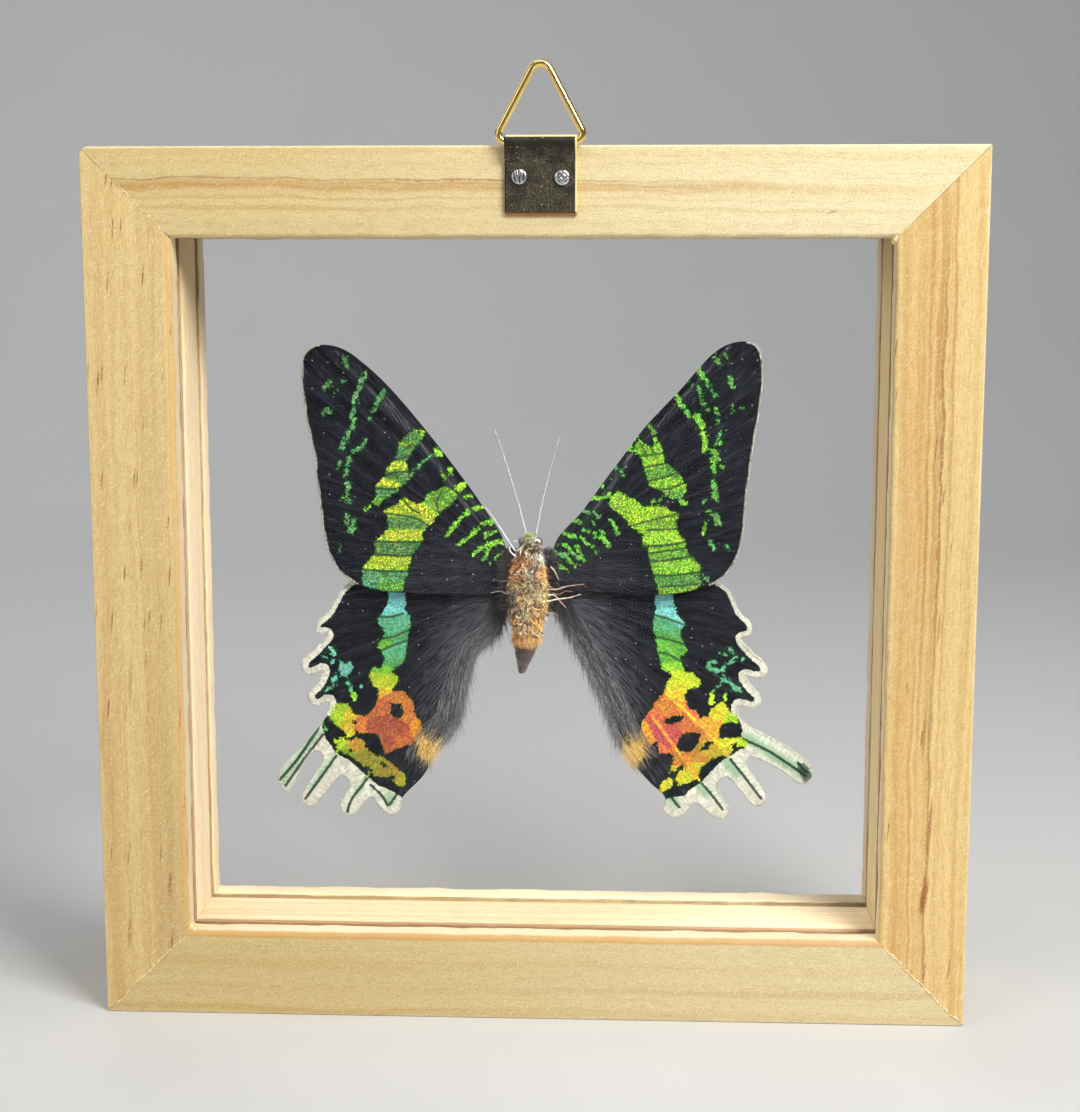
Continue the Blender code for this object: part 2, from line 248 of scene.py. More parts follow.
def hairs(paths, radii, sides=3):
    """Closed hairs of a few sides. paths is (hairs, rings, 3) and radii (hairs, rings)."""
    count, rings, _ = paths.shape
    along = unit(np.gradient(paths, axis=1), 1e-12)
    side = unit(np.cross(along, np.array([0.05, 1.0, 0.03])), 1e-12)
    up = np.cross(side, along)
    turns = np.linspace(0, 2 * math.pi, sides, endpoint=False)[None, None, :, None]
    points = paths[:, :, None] + radii[..., None, None] * (
        side[:, :, None] * np.cos(turns) + up[:, :, None] * np.sin(turns))
    start = (np.arange(count) * rings * sides)[:, None, None]
    ring = (np.arange(rings - 1) * sides)[None, :, None]
    i = np.arange(sides)[None, None, :]
    j = (i + 1) % sides
    low, high = start + ring, start + ring + sides
    quads = np.stack([low + i, high + i, high + j, low + j], -1)
    first = start[:, 0, 0][:, None] + np.arange(sides)
    last = start[:, 0, 0][:, None] + (rings - 1) * sides + np.arange(sides)[::-1]
    faces = quads.reshape(-1, 4).tolist() + first.tolist() + last.tolist()
    return points.reshape(-1, 3), faces


# ----------------------------------------------------------------------------------------------------
# Materials
# ----------------------------------------------------------------------------------------------------

class Finish:
    """A Principled material and short ways to add nodes to it."""

    def __init__(self, name):
        self.made = bpy.data.materials.new(name)
        self.made.use_nodes = True
        self.tree = self.made.node_tree
        self.shader = self.tree.nodes["Principled BSDF"]

    def node(self, kind, **values):
        made = self.tree.nodes.new(kind)
        for name, value in values.items():
            setattr(made, name, value)
        return made

    def link(self, socket, value):
        if isinstance(value, bpy.types.NodeSocket):
            self.tree.links.new(value, socket)
        elif value is not None:
            size = len(socket.default_value) if hasattr(socket.default_value, "__len__") else 0
            socket.default_value = (*value, 1.0) if size == 4 and len(value) == 3 else value

    def set(self, **sockets):
        """Sets or links the shader's sockets, named with _ for a space."""
        for name, value in sockets.items():
            self.link(self.shader.inputs[name.replace("_", " ")], value)

    def math(self, operation, *values, clamp=False):
        made = self.node("ShaderNodeMath", operation=operation, use_clamp=clamp)
        for socket, value in zip(made.inputs, values):
            self.link(socket, value)
        return made.outputs[0]

    def times(self, first, second):
        return self.math("MULTIPLY", first, second)

    def plus(self, first, second, clamp=False):
        return self.math("ADD", first, second, clamp=clamp)

    def minus(self, first, second):
        return self.math("SUBTRACT", first, second)

    def larger(self, first, second):
        return self.math("MAXIMUM", first, second)

    def centred(self, noise, reach):
        """Noise turned into a shift of up to half of reach either way."""
        return self.times(self.minus(noise, 0.5), reach)

    def vector(self, operation, *values):
        made = self.node("ShaderNodeVectorMath", operation=operation)
        for socket, value in zip(made.inputs, values):
            self.link(socket, value)
        return made.outputs[0]

    def place(self):
        """The point in millimetres."""
        coords = self.node("ShaderNodeTexCoord").outputs["Object"]
        return self.vector("MULTIPLY", coords, (1000, 1000, 1000))

    def split(self, vector):
        made = self.node("ShaderNodeSeparateXYZ")
        self.link(made.inputs[0], vector)
        return made.outputs

    def combine(self, x, y, z):
        made = self.node("ShaderNodeCombineXYZ")
        for socket, value in zip(made.inputs, (x, y, z)):
            self.link(socket, value)
        return made.outputs[0]

    def read(self, name, output="Fac"):
        return self.node("ShaderNodeAttribute", attribute_name=name).outputs[output]

    def noise(self, vector, scale, detail):
        made = self.node("ShaderNodeTexNoise")
        self.link(made.inputs["Vector"], vector)
        made.inputs["Scale"].default_value = scale
        made.inputs["Detail"].default_value = detail
        return made.outputs["Fac"]

    def grain(self, x, y, z, detail):
        """Noise at a place given by three measures, each already stretched as wanted."""
        return self.noise(self.combine(x, y, z), 1.0, detail)

    def cells(self, vector, scale, output="Distance"):
        made = self.node("ShaderNodeTexVoronoi")
        self.link(made.inputs["Vector"], vector)
        made.inputs["Scale"].default_value = scale
        return made.outputs[output]

    def span(self, value, low, high, to_low=0.0, to_high=1.0, smooth=True):
        """value from low..high onto to_low..to_high, held at both ends."""
        made = self.node("ShaderNodeMapRange", interpolation_type="SMOOTHSTEP" if smooth else "LINEAR")
        for socket, number in zip(made.inputs, (value, low, high, to_low, to_high)):
            self.link(socket, number)
        return made.outputs[0]

    def mix(self, share, first, second, how="MIX"):
        made = self.node("ShaderNodeMix", data_type="RGBA", blend_type=how)
        self.link(made.inputs[0], share)
        self.link(made.inputs[6], first)
        self.link(made.inputs[7], second)
        return made.outputs[2]

    def ramp(self, value, stops):
        made = self.node("ShaderNodeValToRGB")
        self.link(made.inputs[0], value)
        while len(made.color_ramp.elements) < len(stops):
            made.color_ramp.elements.new(1.0)
        for element, (position, color) in zip(made.color_ramp.elements, stops):
            element.position = position
            element.color = (*color, 1.0)
        return made.outputs[0]

    def painted_light_drift(self, color, length, stops):
        """Painted light and shade along a board: its colour changes along it; stops are (place, share of each
        colour) at two places.
        """
        (start, first), (end, last) = stops
        return self.mix(1.0, color, self.mix(self.span(length, start, end), first, last), "MULTIPLY")

    def bump(self, height, reach):
        """Relief: height of 1 stands for reach millimetres."""
        made = self.node("ShaderNodeBump")
        made.inputs["Strength"].default_value = 1.0
        made.inputs["Distance"].default_value = reach * MM
        self.link(made.inputs["Height"], height)
        self.link(self.shader.inputs["Normal"], made.outputs[0])


def add_bands(f, color, bands, bent, length, fibre, lines):
    """Lengthways bands that follow the grain and fade toward one end."""
    for place, half, strength, tint, full, faded in bands:
        gap = f.math("ABSOLUTE", f.minus(bent, place))
        ragged = f.plus(gap, f.centred(fibre, half * 1.1 + 0.4))
        share = f.times(f.span(ragged, half * 1.5, half * 0.4), f.span(length, full, faded, strength, 0.1))
        share = f.times(share, f.span(lines, 0.3, 0.6, 0.55, 1.0))
        color = f.mix(share, color, tint)
    return color


def add_flames(f, color, flames, length, across, fibre):
    """Long brown ovals where the board's rings run out of its face."""
    for run, place, half_run, half, strength in flames:
        u = f.math("DIVIDE", f.minus(length, run), half_run)
        lean = f.plus(f.minus(across, place), f.times(u, -half * 0.8))
        v = f.math("DIVIDE", lean, half)
        gap = f.math("SQRT", f.plus(f.times(u, u), f.times(v, v)))
        gap = f.plus(gap, f.centred(fibre, 0.9))
        color = f.mix(f.span(gap, 1.0, 0.4, 0.0, strength), color, srgb(166, 98, 40))
    return color


def add_dashes(f, color, amount, seeded, across, y, fibre):
    """Short dark dashes of resin. amount is the share of the places for a dash that have one."""
    slanted = f.plus(across, f.times(seeded, -0.1))
    cell = f.combine(f.times(seeded, 0.12), f.times(slanted, 1.5), f.times(y, 1.5))
    chance = f.split(f.cells(cell, 1.0, "Color"))[0]
    share = f.times(f.span(f.cells(cell, 1.0), 0.34, 0.14), f.span(chance, 1 - amount, 1 - amount * 0.7))
    share = f.times(share, f.span(fibre, 0.3, 0.55))
    return f.mix(f.times(share, 0.8), color, srgb(142, 90, 40))


def add_wear_light_and_shade(f, color, inward, across, y, fibre, ripples):
    """The worn inner edge, painted highlights on the near lip, its rounded front and the outer edge, and
    painted shade on the far lip and in the dark channel.
    """
    sign, offset, wear = inward
    near = -DEPTH / 2
    depth = f.plus(f.times(across, sign), offset)
    uneven = f.plus(depth, f.centred(ripples, 0.5))
    front = f.span(y, near + 1.2, near + 0.7)
    worn = f.times(f.span(uneven, RAIL - 1.2, RAIL - 0.8), front)
    color = f.mix(f.times(worn, wear), color, srgb(218, 160, 82))
    inner = f.span(uneven, RAIL - 0.9, RAIL - 0.5)
    # Painted highlight: the near lip's inner face turned pale cream, as where light falls on it.
    near_lip_highlight = f.times(inner, f.span(y, near + 1.0, near + 1.5))
    color = f.mix(f.times(near_lip_highlight, f.span(y, 1.0, -1.0, 0.0, 0.7)), color, srgb(255, 238, 190))
    # Painted shade: the far lip, deep behind the panes, turned darker.
    far_lip_shade = f.times(inner, f.span(y, 2.0, 4.0, 0.0, 0.4))
    color = f.mix(far_lip_shade, color, srgb(222, 184, 132))
    # Painted highlight: a thin pale line along the outer edge.
    outer = f.times(f.span(uneven, 0.45, 0.2), f.span(fibre, 0.35, 0.55, 0.1, 0.6))
    color = f.mix(outer, color, srgb(255, 240, 200))
    # Painted highlight: a pale band on the lip's rounded front.
    painted_edge_tone = f.times(f.span(depth, RAIL - 0.4, RAIL - 0.15), f.span(y, near + 0.4, near + 1.0))
    color = f.mix(f.times(painted_edge_tone, 0.75), color, srgb(246, 228, 194))
    # Painted shade: dark brown in the channel where the glass sits.
    channel = f.span(f.math("ABSOLUTE", y), LIP_BACK + 0.3, LIP_BACK - 0.1)
    channel = f.times(channel, f.span(depth, RAIL - 3.5, RAIL - 2.5))
    return f.mix(f.times(channel, 0.8), color, srgb(120, 76, 36))


def wood(name, along, light, dark, bands, flames, dashes, streaks, seed, inward, painted_light_drift):
    """Bare pine whose grain runs along X or Z.

    bands are (place across, half width, strength, colour, where it is full, where it has faded). flames are
    (place along, place across, half length, half width, strength). Places are in the row frame. dashes and
    streaks are how many there are. inward is (sign, offset, wear). The first two turn the place across into
    the distance from the frame's outer edge.
    """
    f = Finish(name)
    x, y, z = f.split(f.place())
    length, across = (x, z) if along == "X" else (z, x)
    seeded = f.plus(length, seed * 37.0)
    sway = f.grain(f.times(seeded, 0.016), f.times(across, 0.05), seed, 1.0)
    ripples = f.grain(f.times(seeded, 0.12), f.times(across, 0.3), seed, 2.0)
    bent = f.plus(f.plus(across, f.centred(sway, 3.2)), f.centred(ripples, 1.5))
    deep = f.plus(f.times(y, 0.35), seed * 11.0)
    rings = f.grain(f.times(seeded, 0.006), f.times(bent, 0.6), deep, 4.0)
    lines = f.grain(f.times(seeded, 0.03), f.times(bent, 2.4), deep, 2.0)
    fibre = f.grain(f.times(seeded, 0.6), f.times(bent, 5.0), f.times(y, 5.0), 3.0)
    mottle = f.grain(f.times(seeded, 0.45), f.times(across, 0.8), deep, 4.0)
    sanded = f.grain(f.times(seeded, 2.6), f.times(across, 3.4), f.times(y, 3.4), 3.0)
    lengthways = f.plus(f.times(length, 0.25), f.times(across, 0.45))
    scratch = f.grain(lengthways, f.times(f.minus(across, length), 1.6), seed, 2.0)

    tone = f.plus(f.times(f.span(rings, 0.35, 0.68), streaks), f.centred(mottle, 0.8), clamp=True)
    color = f.mix(tone, light, dark)
    color = f.mix(f.span(lines, 0.56, 0.72, 0.0, streaks * 0.5), color, srgb(196, 142, 74))
    color = add_bands(f, color, bands, bent, length, fibre, lines)
    color = add_flames(f, color, flames, length, across, fibre)
    if dashes:
        color = add_dashes(f, color, dashes, seeded, across, y, fibre)
    for layer, none, full, most, tint in (
        (fibre, 0.42, 0.75, 0.1 + streaks * 0.3, srgb(160, 110, 52)),
        (sanded, 0.53, 0.72, 0.35, srgb(178, 134, 74)),
        (sanded, 0.44, 0.28, 0.5, srgb(255, 242, 196)),
        (scratch, 0.58, 0.70, 0.35, srgb(250, 228, 176)),
    ):
        color = f.mix(f.span(layer, none, full, 0.0, most), color, tint)
    color = f.painted_light_drift(color, length, painted_light_drift)
    color = add_wear_light_and_shade(f, color, inward, across, y, fibre, ripples)
    f.set(Base_Color=color, Roughness=f.span(fibre, 0.2, 0.8, 0.5, 0.68), Specular_IOR_Level=0.3)
    f.bump(f.plus(f.times(fibre, 0.6), f.times(sanded, 0.8)), 0.06)
    return f.made


def sawn_wood(name, along, light, dark, seed, painted_light_drift):
    """The spacers' paler wood: straight faint lines, and brown painted shade along the two sides by the
    panes.
    """
    f = Finish(name)
    x, y, z = f.split(f.place())
    length, across = (x, z) if along == "X" else (z, x)
    seeded = f.plus(length, seed * 31.0)
    lines = f.grain(f.times(seeded, 0.015), f.times(across, 0.3), f.times(y, 1.5), 4.0)
    fibre = f.grain(f.times(seeded, 0.5), f.times(across, 4.0), f.times(y, 4.5), 3.0)
    fine = f.grain(f.times(seeded, 2.5), across, f.times(y, 3.0), 2.0)
    color = f.mix(f.span(lines, 0.35, 0.68), light, dark)
    color = f.mix(f.span(fibre, 0.5, 0.74, 0.0, 0.42), color, srgb(198, 150, 106))
    color = f.mix(f.span(fine, 0.52, 0.75, 0.0, 0.35), color, srgb(214, 176, 136))
    color = f.painted_light_drift(color, length, painted_light_drift)
    # Painted shade: brown along the spacer's two sides, where they meet the panes.
    edge = f.plus(f.math("ABSOLUTE", y), f.centred(fibre, 0.35))
    painted_edge_tone = f.span(edge, STRIP_HIGH[1] - 0.75, STRIP_HIGH[1] - 0.35, 0.0, 0.7)
    color = f.mix(painted_edge_tone, color, srgb(140, 92, 50))
    f.set(Base_Color=color, Roughness=0.62, Specular_IOR_Level=0.25)
    f.bump(f.plus(f.times(fibre, 0.6), f.times(fine, 0.5)), 0.05)
    return f.made


def glass():
    """Clear picture glass with the faintest waviness."""
    f = Finish("clear_pane")
    f.set(Base_Color=(1.0, 1.0, 1.0), Roughness=0.0, IOR=1.12, Transmission_Weight=1.0)
    f.bump(f.noise(f.place(), 0.02, 1.0), 0.004)
    return f.made


def metal(name, color, roughness, tarnish, amount, grain=8.0, relief=0.02):
    """Plated metal with cloudy tarnish and fine scratches, which is given back for more layers."""
    f = Finish(name)
    place = f.place()
    cloud = f.noise(place, 0.45, 5.0)
    fine = f.noise(place, grain, 3.0)
    scratch = f.noise(f.vector("MULTIPLY", place, (9.0, 9.0, 0.7)), 1.0, 2.0)
    shade = f.mix(f.times(f.span(cloud, 0.35, 0.65), amount), color, tarnish)
    rough = f.plus(f.span(cloud, 0.3, 0.7, roughness * 0.8, roughness * 1.4),
                   f.times(f.span(scratch, 0.5, 0.7), 0.08))
    f.set(Base_Color=shade, Metallic=1.0, Roughness=rough)
    f.bump(f.plus(f.times(fine, 0.6), f.times(scratch, 0.4)), relief)
    return f


def plate_metal():
    """The strip: dark tarnished brass with bright nicks, a painted dark reflection and a painted highlight
    along the top, its right cut edge still yellow, and a painted lit strip on the lower leaf.
    """
    f = metal("plate_brass", srgb(112, 104, 84), 0.42, srgb(62, 54, 44), 0.9, 6.0, 0.03)
    place = f.place()
    x, _, z = f.split(place)
    low, high = box_mm("hanger_strip")
    shade = f.shader.inputs["Base Color"].links[0].from_socket
    rough = f.noise(place, 3.2, 4.0)
    shade = f.mix(f.span(rough, 0.40, 0.60, 0.0, 0.75), shade, srgb(26, 24, 20))
    # Painted reflection: darker toward the top of the strip.
    shade = f.mix(f.span(z, high[2] - 4.6, high[2] - 1.6, 0.0, 0.7), shade, srgb(28, 30, 26))
    stretched = f.vector("MULTIPLY", place, (1.0, 1.0, 3.2))
    nick = f.times(f.span(f.cells(stretched, 1.0), 0.15, 0.08),
                   f.span(f.split(f.cells(stretched, 1.0, "Color"))[0], 0.72, 0.78))
    crowd = f.span(f.noise(place, 0.5, 1.0), 0.42, 0.58, 0.15, 1.0)
    dots = f.times(f.span(f.cells(place, 2.8), 0.24, 0.12),
                   f.span(f.split(f.cells(place, 2.8, "Color"))[1], 0.84, 0.88))
    bright = f.larger(nick, f.times(dots, crowd))
    shade = f.mix(bright, shade, (0.95, 0.90, 0.74))
    # Painted highlight along the top fold; the bright line down the right is the bare cut edge.
    edge = f.larger(f.span(z, high[2] - 0.42, high[2] - 0.25), f.span(x, high[0] - 0.34, high[0] - 0.2))
    shade = f.mix(edge, shade, srgb(250, 232, 160))
    shade = f.mix(f.span(x, low[0] + 0.3, low[0] + 0.15, 0.0, 0.8), shade, srgb(30, 26, 20))
    # Painted light: a tan strip along the lower leaf, as where it catches light.
    lower = f.span(z, low[2] + 0.62, low[2] + 0.56)
    shade = f.mix(lower, shade, srgb(160, 112, 66))
    pale = f.larger(lower, f.larger(bright, edge))
    f.set(Base_Color=shade, Metallic=f.times(f.minus(1.0, pale), 0.5))
    return f


def nail_metal():
    """Bright steel, with painted shade in the grooves that the tool pressed into the head."""
    f = metal("nail_metal", srgb(232, 230, 232), 0.24, srgb(160, 158, 162), 0.4, 6.0, 0.008)
    shade = f.shader.inputs["Base Color"].links[0].from_socket
    # Painted shade: near black in the pressed grooves.
    f.set(Base_Color=f.mix(f.times(f.read("groove"), 0.85), shade, srgb(46, 44, 46)))
    return f


HUES = [
    (0.00, srgb(120, 205, 212)), (0.13, srgb(88, 190, 152)), (0.28, srgb(62, 160, 72)),
    (0.42, srgb(104, 200, 34)), (0.55, srgb(168, 224, 16)), (0.69, srgb(228, 218, 30)),
    (0.81, srgb(240, 152, 34)), (0.91, srgb(226, 92, 60)), (1.00, srgb(198, 66, 92)),
]


def scale_ground(f, place, fine, hair, spoke, reach):
    """The black between the bands: hair-like streaks from the root, and loose pale scales."""
    streak = f.grain(f.times(spoke, 0.9), f.times(reach, 0.12), 0.0, 4.0)
    lit = f.times(f.read("pale"), f.span(hair, 0.40, 0.62, 0.1, 1.0))
    dust = f.times(f.span(f.cells(place, 1.1), 0.13, 0.08),
                   f.span(f.split(f.cells(place, 1.1, "Color"))[0], 0.74, 0.78))
    ground = f.mix(f.span(streak, 0.35, 0.75), srgb(8, 9, 13), srgb(27, 28, 38))
    ground = f.mix(f.span(fine, 0.45, 0.8, 0.0, 0.35), ground, srgb(40, 42, 54))
    ground = f.mix(lit, ground, srgb(140, 140, 150))
    ground = f.mix(f.span(f.read("vein"), 0.26, 0.05, 0.0, 0.10), ground, srgb(96, 98, 114))
    ground = f.mix(f.span(hair, 0.60, 0.74, 0.0, 0.38), ground, srgb(98, 96, 106))
    return f.mix(f.times(dust, 0.75), ground, srgb(206, 204, 208))


def scale_band(f, place, unsteady, hair, grain, grain_tone, line, speckle):
    """The coloured bands, scale by scale."""
    hue = f.plus(f.read("hue"), f.times(unsteady, 0.12))
    hue = f.plus(hue, f.centred(grain_tone[0], 0.14))
    light = f.times(f.read("glow"), f.span(hair, 0.3, 0.7, 0.78, 1.15))
    light = f.times(light, f.span(grain_tone[1], 0.0, 1.0, 1 - 0.5 * speckle, 1 + 0.45 * speckle, False))
    band = f.mix(1.0, f.ramp(hue, HUES), f.combine(light, light, light), "MULTIPLY")
    deep = f.mix(f.span(hue, 0.7, 0.85), srgb(12, 54, 14), srgb(112, 34, 20))
    band = f.mix(f.span(grain, 0.32, 0.58, 0.0, 0.72 * speckle), band, deep)
    glint = f.span(f.split(f.cells(place, 6.0, "Color"))[1], 0.74, 0.86, 0.0, 0.6 * speckle)
    band = f.mix(glint, band, f.mix(0.45, band, srgb(255, 250, 150), "SCREEN"))
    return f.mix(f.span(line, 0.30, 0.12, 0.0, 0.85), band, srgb(14, 50, 16))


def scale_margin(f, unsteady, line, light, dark):
    """The pale margin, with barbs across it, green and grey stretches and the tails' dark lines."""
    barbs = f.grain(f.times(f.read("rim"), 4.2), f.times(f.read("edge"), 0.6), 0.0, 3.0)
    cream = f.mix(f.span(barbs, 0.40, 0.62, 0.5, 0.0), light, dark)
    green = f.plus(f.read("green"), f.times(unsteady, 1.6))
    cream = f.mix(f.span(green, 0.75, -0.5, 0.0, 0.7), cream, srgb(116, 166, 124))
    dusk = f.plus(f.read("dusk"), f.times(unsteady, 1.2))
    cream = f.mix(f.span(dusk, 0.25, -0.15, 0.0, 0.9), cream, srgb(66, 78, 66))
    ragged = f.plus(line, f.centred(barbs, 0.25))
    return f.mix(f.span(ragged, 0.34, 0.18, 0.0, 0.92), cream, srgb(16, 50, 36))


def wing_scales(name, speckle, margin_light, margin_dark):
    """Black scales with coloured bands, from the values at each vertex.

    mark and cream are the distances outside a band and outside the pale margin, green and dusk those from
    its green and grey stretches, line and vein those from a dark line and from a vein. loose is how broken
    a band's edge is, hue its colour, glow its brightness and pale how grey the ground is. spoke and reach
    are the place about the root, rim and edge that about the margin. speckle is how much scales differ.
    """
    f = Finish(name)
    place = f.place()
    spoke, reach = f.read("spoke"), f.read("reach")
    fine = f.noise(place, 2.6, 3.0)
    unsteady = f.minus(fine, 0.5)
    grain = f.cells(place, 3.1)
    grain_tone = f.split(f.cells(place, 3.1, "Color"))
    hair = f.grain(f.times(spoke, 3.4), f.times(reach, 0.35), 2.0, 3.0)
    line = f.plus(f.read("line"), f.times(unsteady, 0.25))

    ragged = f.plus(f.times(unsteady, 0.95), f.centred(f.noise(place, 0.9, 2.0), 0.3))
    ragged = f.plus(ragged, f.centred(grain_tone[2], 0.32))
    broken = f.plus(f.centred(f.noise(place, 1.4, 1.0), 1.3), 0.12)
    ragged = f.plus(ragged, f.times(broken, f.read("loose")))
    mark = f.plus(f.read("mark"), ragged)
    cream_gap = f.plus(f.read("cream"), f.times(unsteady, 0.6))

    color = scale_ground(f, place, fine, hair, spoke, reach)
    color = f.mix(f.span(mark, 0.55, 0.05, 0.0, 0.8), color, srgb(10, 46, 14))
    color = f.mix(f.span(cream_gap, 0.45, 0.0, 0.0, 0.75), color, srgb(10, 32, 20))
    cream = scale_margin(f, unsteady, line, margin_light, margin_dark)
    color = f.mix(f.span(cream_gap, 0.05, -0.05), color, cream)
    band = scale_band(f, place, unsteady, hair, grain, grain_tone, line, speckle)
    color = f.mix(f.span(mark, 0.05, -0.05), color, band)
    f.set(Base_Color=color, Roughness=f.span(mark, 0.1, -0.1, 0.6, 0.34))
    f.set(Specular_IOR_Level=f.span(mark, 0.1, -0.1, 0.08, 0.5))
    f.bump(f.plus(f.times(grain, 0.5), f.times(hair, 0.6)), 0.07)
    return f.made


def tinted(name, roughness=0.65, sheen=0.3, spread=0.35, shine=0.3):
    """Hair and chitin whose colour is held at each vertex."""
    f = Finish(name)
    shade = f.span(f.noise(f.place(), 2.5, 3.0), 0.2, 0.8, 1 - spread, 1 + spread)
    color = f.mix(1.0, f.read("tint", "Color"), f.combine(shade, shade, shade), "MULTIPLY")
    f.set(Base_Color=color, Roughness=roughness, Sheen_Weight=sheen, Specular_IOR_Level=shine)
    return f.made


def clear_glue():
    f = Finish("clear_glue")
    f.set(Base_Color=(1.0, 0.99, 0.96), Roughness=0.08, IOR=1.16, Transmission_Weight=1.0)
    f.bump(f.noise(f.place(), 1.2, 2.0), 0.15)
    return f.made


# ----------------------------------------------------------------------------------------------------
# Frame: rails, spacers, glue lines
# ----------------------------------------------------------------------------------------------------

BASE_LOW, BASE_HIGH = box_mm("bottom_rail")
SIDE = box_mm("right_rail")[1][0] * 2
DEPTH = BASE_HIGH[1] - BASE_LOW[1]
RAIL = BASE_HIGH[2]
STRIP_LOW, STRIP_HIGH = box_mm("bottom_spacer")
LIP_BACK = -box_mm("glass_hanger_side")[0][1]
SEAM = 0.05
CORNER_ROUND = {"top_left": 1.6, "top_right": 0.35, "bottom_left": 0.5, "bottom_right": 0.4}


def filled_in(points, step):
    """The same closed polygon with points added so that none are more than step apart."""
    out = []
    for a, b in zip(points, points[1:] + points[:1]):
        count = max(1, math.ceil(math.dist(a, b) / step))
        out += [(a[0] + (b[0] - a[0]) * i / count, a[1] + (b[1] - a[1]) * i / count) for i in range(count)]
    return out


def rail_profile():
    """(inward, y) round the rail's section: crisp outer edges, worn lips and the channel."""
    half, outer, lip = DEPTH / 2, 0.4, 0.85
    floor = RAIL - 3.0
    cheek = LIP_BACK + 0.15
    points = arc((outer, -half + outer), outer, 180, 270, 4)
    points += arc((RAIL - lip, -half + lip), lip, 270, 360, 6)
    points += [(RAIL - 0.05, -cheek - 0.35), (RAIL - 0.4, -cheek), (floor, -cheek), (floor, cheek)]
    points += [(RAIL - 0.3, cheek), (RAIL - 0.05, cheek + 0.25)]
    points += arc((RAIL - 0.6, half - 0.6), 0.6, 0, 90, 5)
    points += arc((outer, half - outer), outer, 90, 180, 4)
    return filled_in(points, 2.4)


def spacer_profile():
    """The strip between the panes, with a saw-cut step along one edge of its face."""
    outer, inner = STRIP_LOW[2], STRIP_HIGH[2]
    near, far = STRIP_LOW[1] + 0.1, STRIP_HIGH[1] - 0.1
    return filled_in([
        (outer, near), (inner - 0.45, near), (inner - 0.12, near + 0.25), (inner - 0.12, near + 1.5),
        (inner, near + 1.75), (inner, far - 0.3), (inner - 0.2, far), (outer, far),
    ], 2.4)


def mitred_bar(profile, seed, wear):
    """A bar along the bottom, from mitre to mitre, its inner edge a little uneven. Points are x, y, z."""
    half = SIDE / 2
    fine = np.concatenate([np.linspace(0, 0.02, 9)[:-1], np.linspace(0.02, 0.98, 90),
                           np.linspace(0.98, 1, 9)[1:]])
    rings = []
    for share in fine:
        ring = []
        for inward, y in profile:
            reach = half - inward - SEAM
            x = -reach + 2 * reach * share
            edge = smooth_step(RAIL - 2.0, RAIL - 0.3, inward)
            inward += wear * edge * (0.1 * ripple(x, y, seed, 9.0) + 0.05 * ripple(x, y, seed + 1, 2.2))
            y += wear * edge * 0.06 * ripple(x, y, seed + 2, 5.0)
            ring.append((x, y, inward))
        rings.append(np.array(ring))
    return skin(rings)


def turned(points, quarter):
    """Turns points about the frame's middle axis: 0 is the bottom, 1 the right, 2 the top and 3 the left."""
    angle = quarter * math.pi / 2
    x, z = points[:, 0], points[:, 2] - SIDE / 2
    return np.column_stack([x * math.cos(angle) - z * math.sin(angle), points[:, 1],
                            x * math.sin(angle) + z * math.cos(angle) + SIDE / 2])


def rounded_corners(points):
    """Softens the frame's four outer corners."""
    out = points.copy()
    for name, radius in CORNER_ROUND.items():
        sx = 1 if "right" in name else -1
        sz = 1 if "top" in name else -1
        dx = sx * out[:, 0] - (SIDE / 2 - radius)
        dz = sz * (out[:, 2] - SIDE / 2) - (SIDE / 2 - radius)
        near = (dx > 0) & (dz > 0)
        share = np.where(near, np.maximum(dx, dz) / np.maximum(np.hypot(dx, dz), 1e-9), 1.0)
        out[:, 0] = np.where(near, sx * (SIDE / 2 - radius + dx * share), out[:, 0])
        out[:, 2] = np.where(near, SIDE / 2 + sz * (SIDE / 2 - radius + dz * share), out[:, 2])
    return out


TAN, BROWN, RUST, STREAK = srgb(206, 150, 72), srgb(160, 98, 44), srgb(192, 118, 66), srgb(190, 122, 54)
BAND = SIDE - 6.9
INNER = SIDE / 2 - RAIL
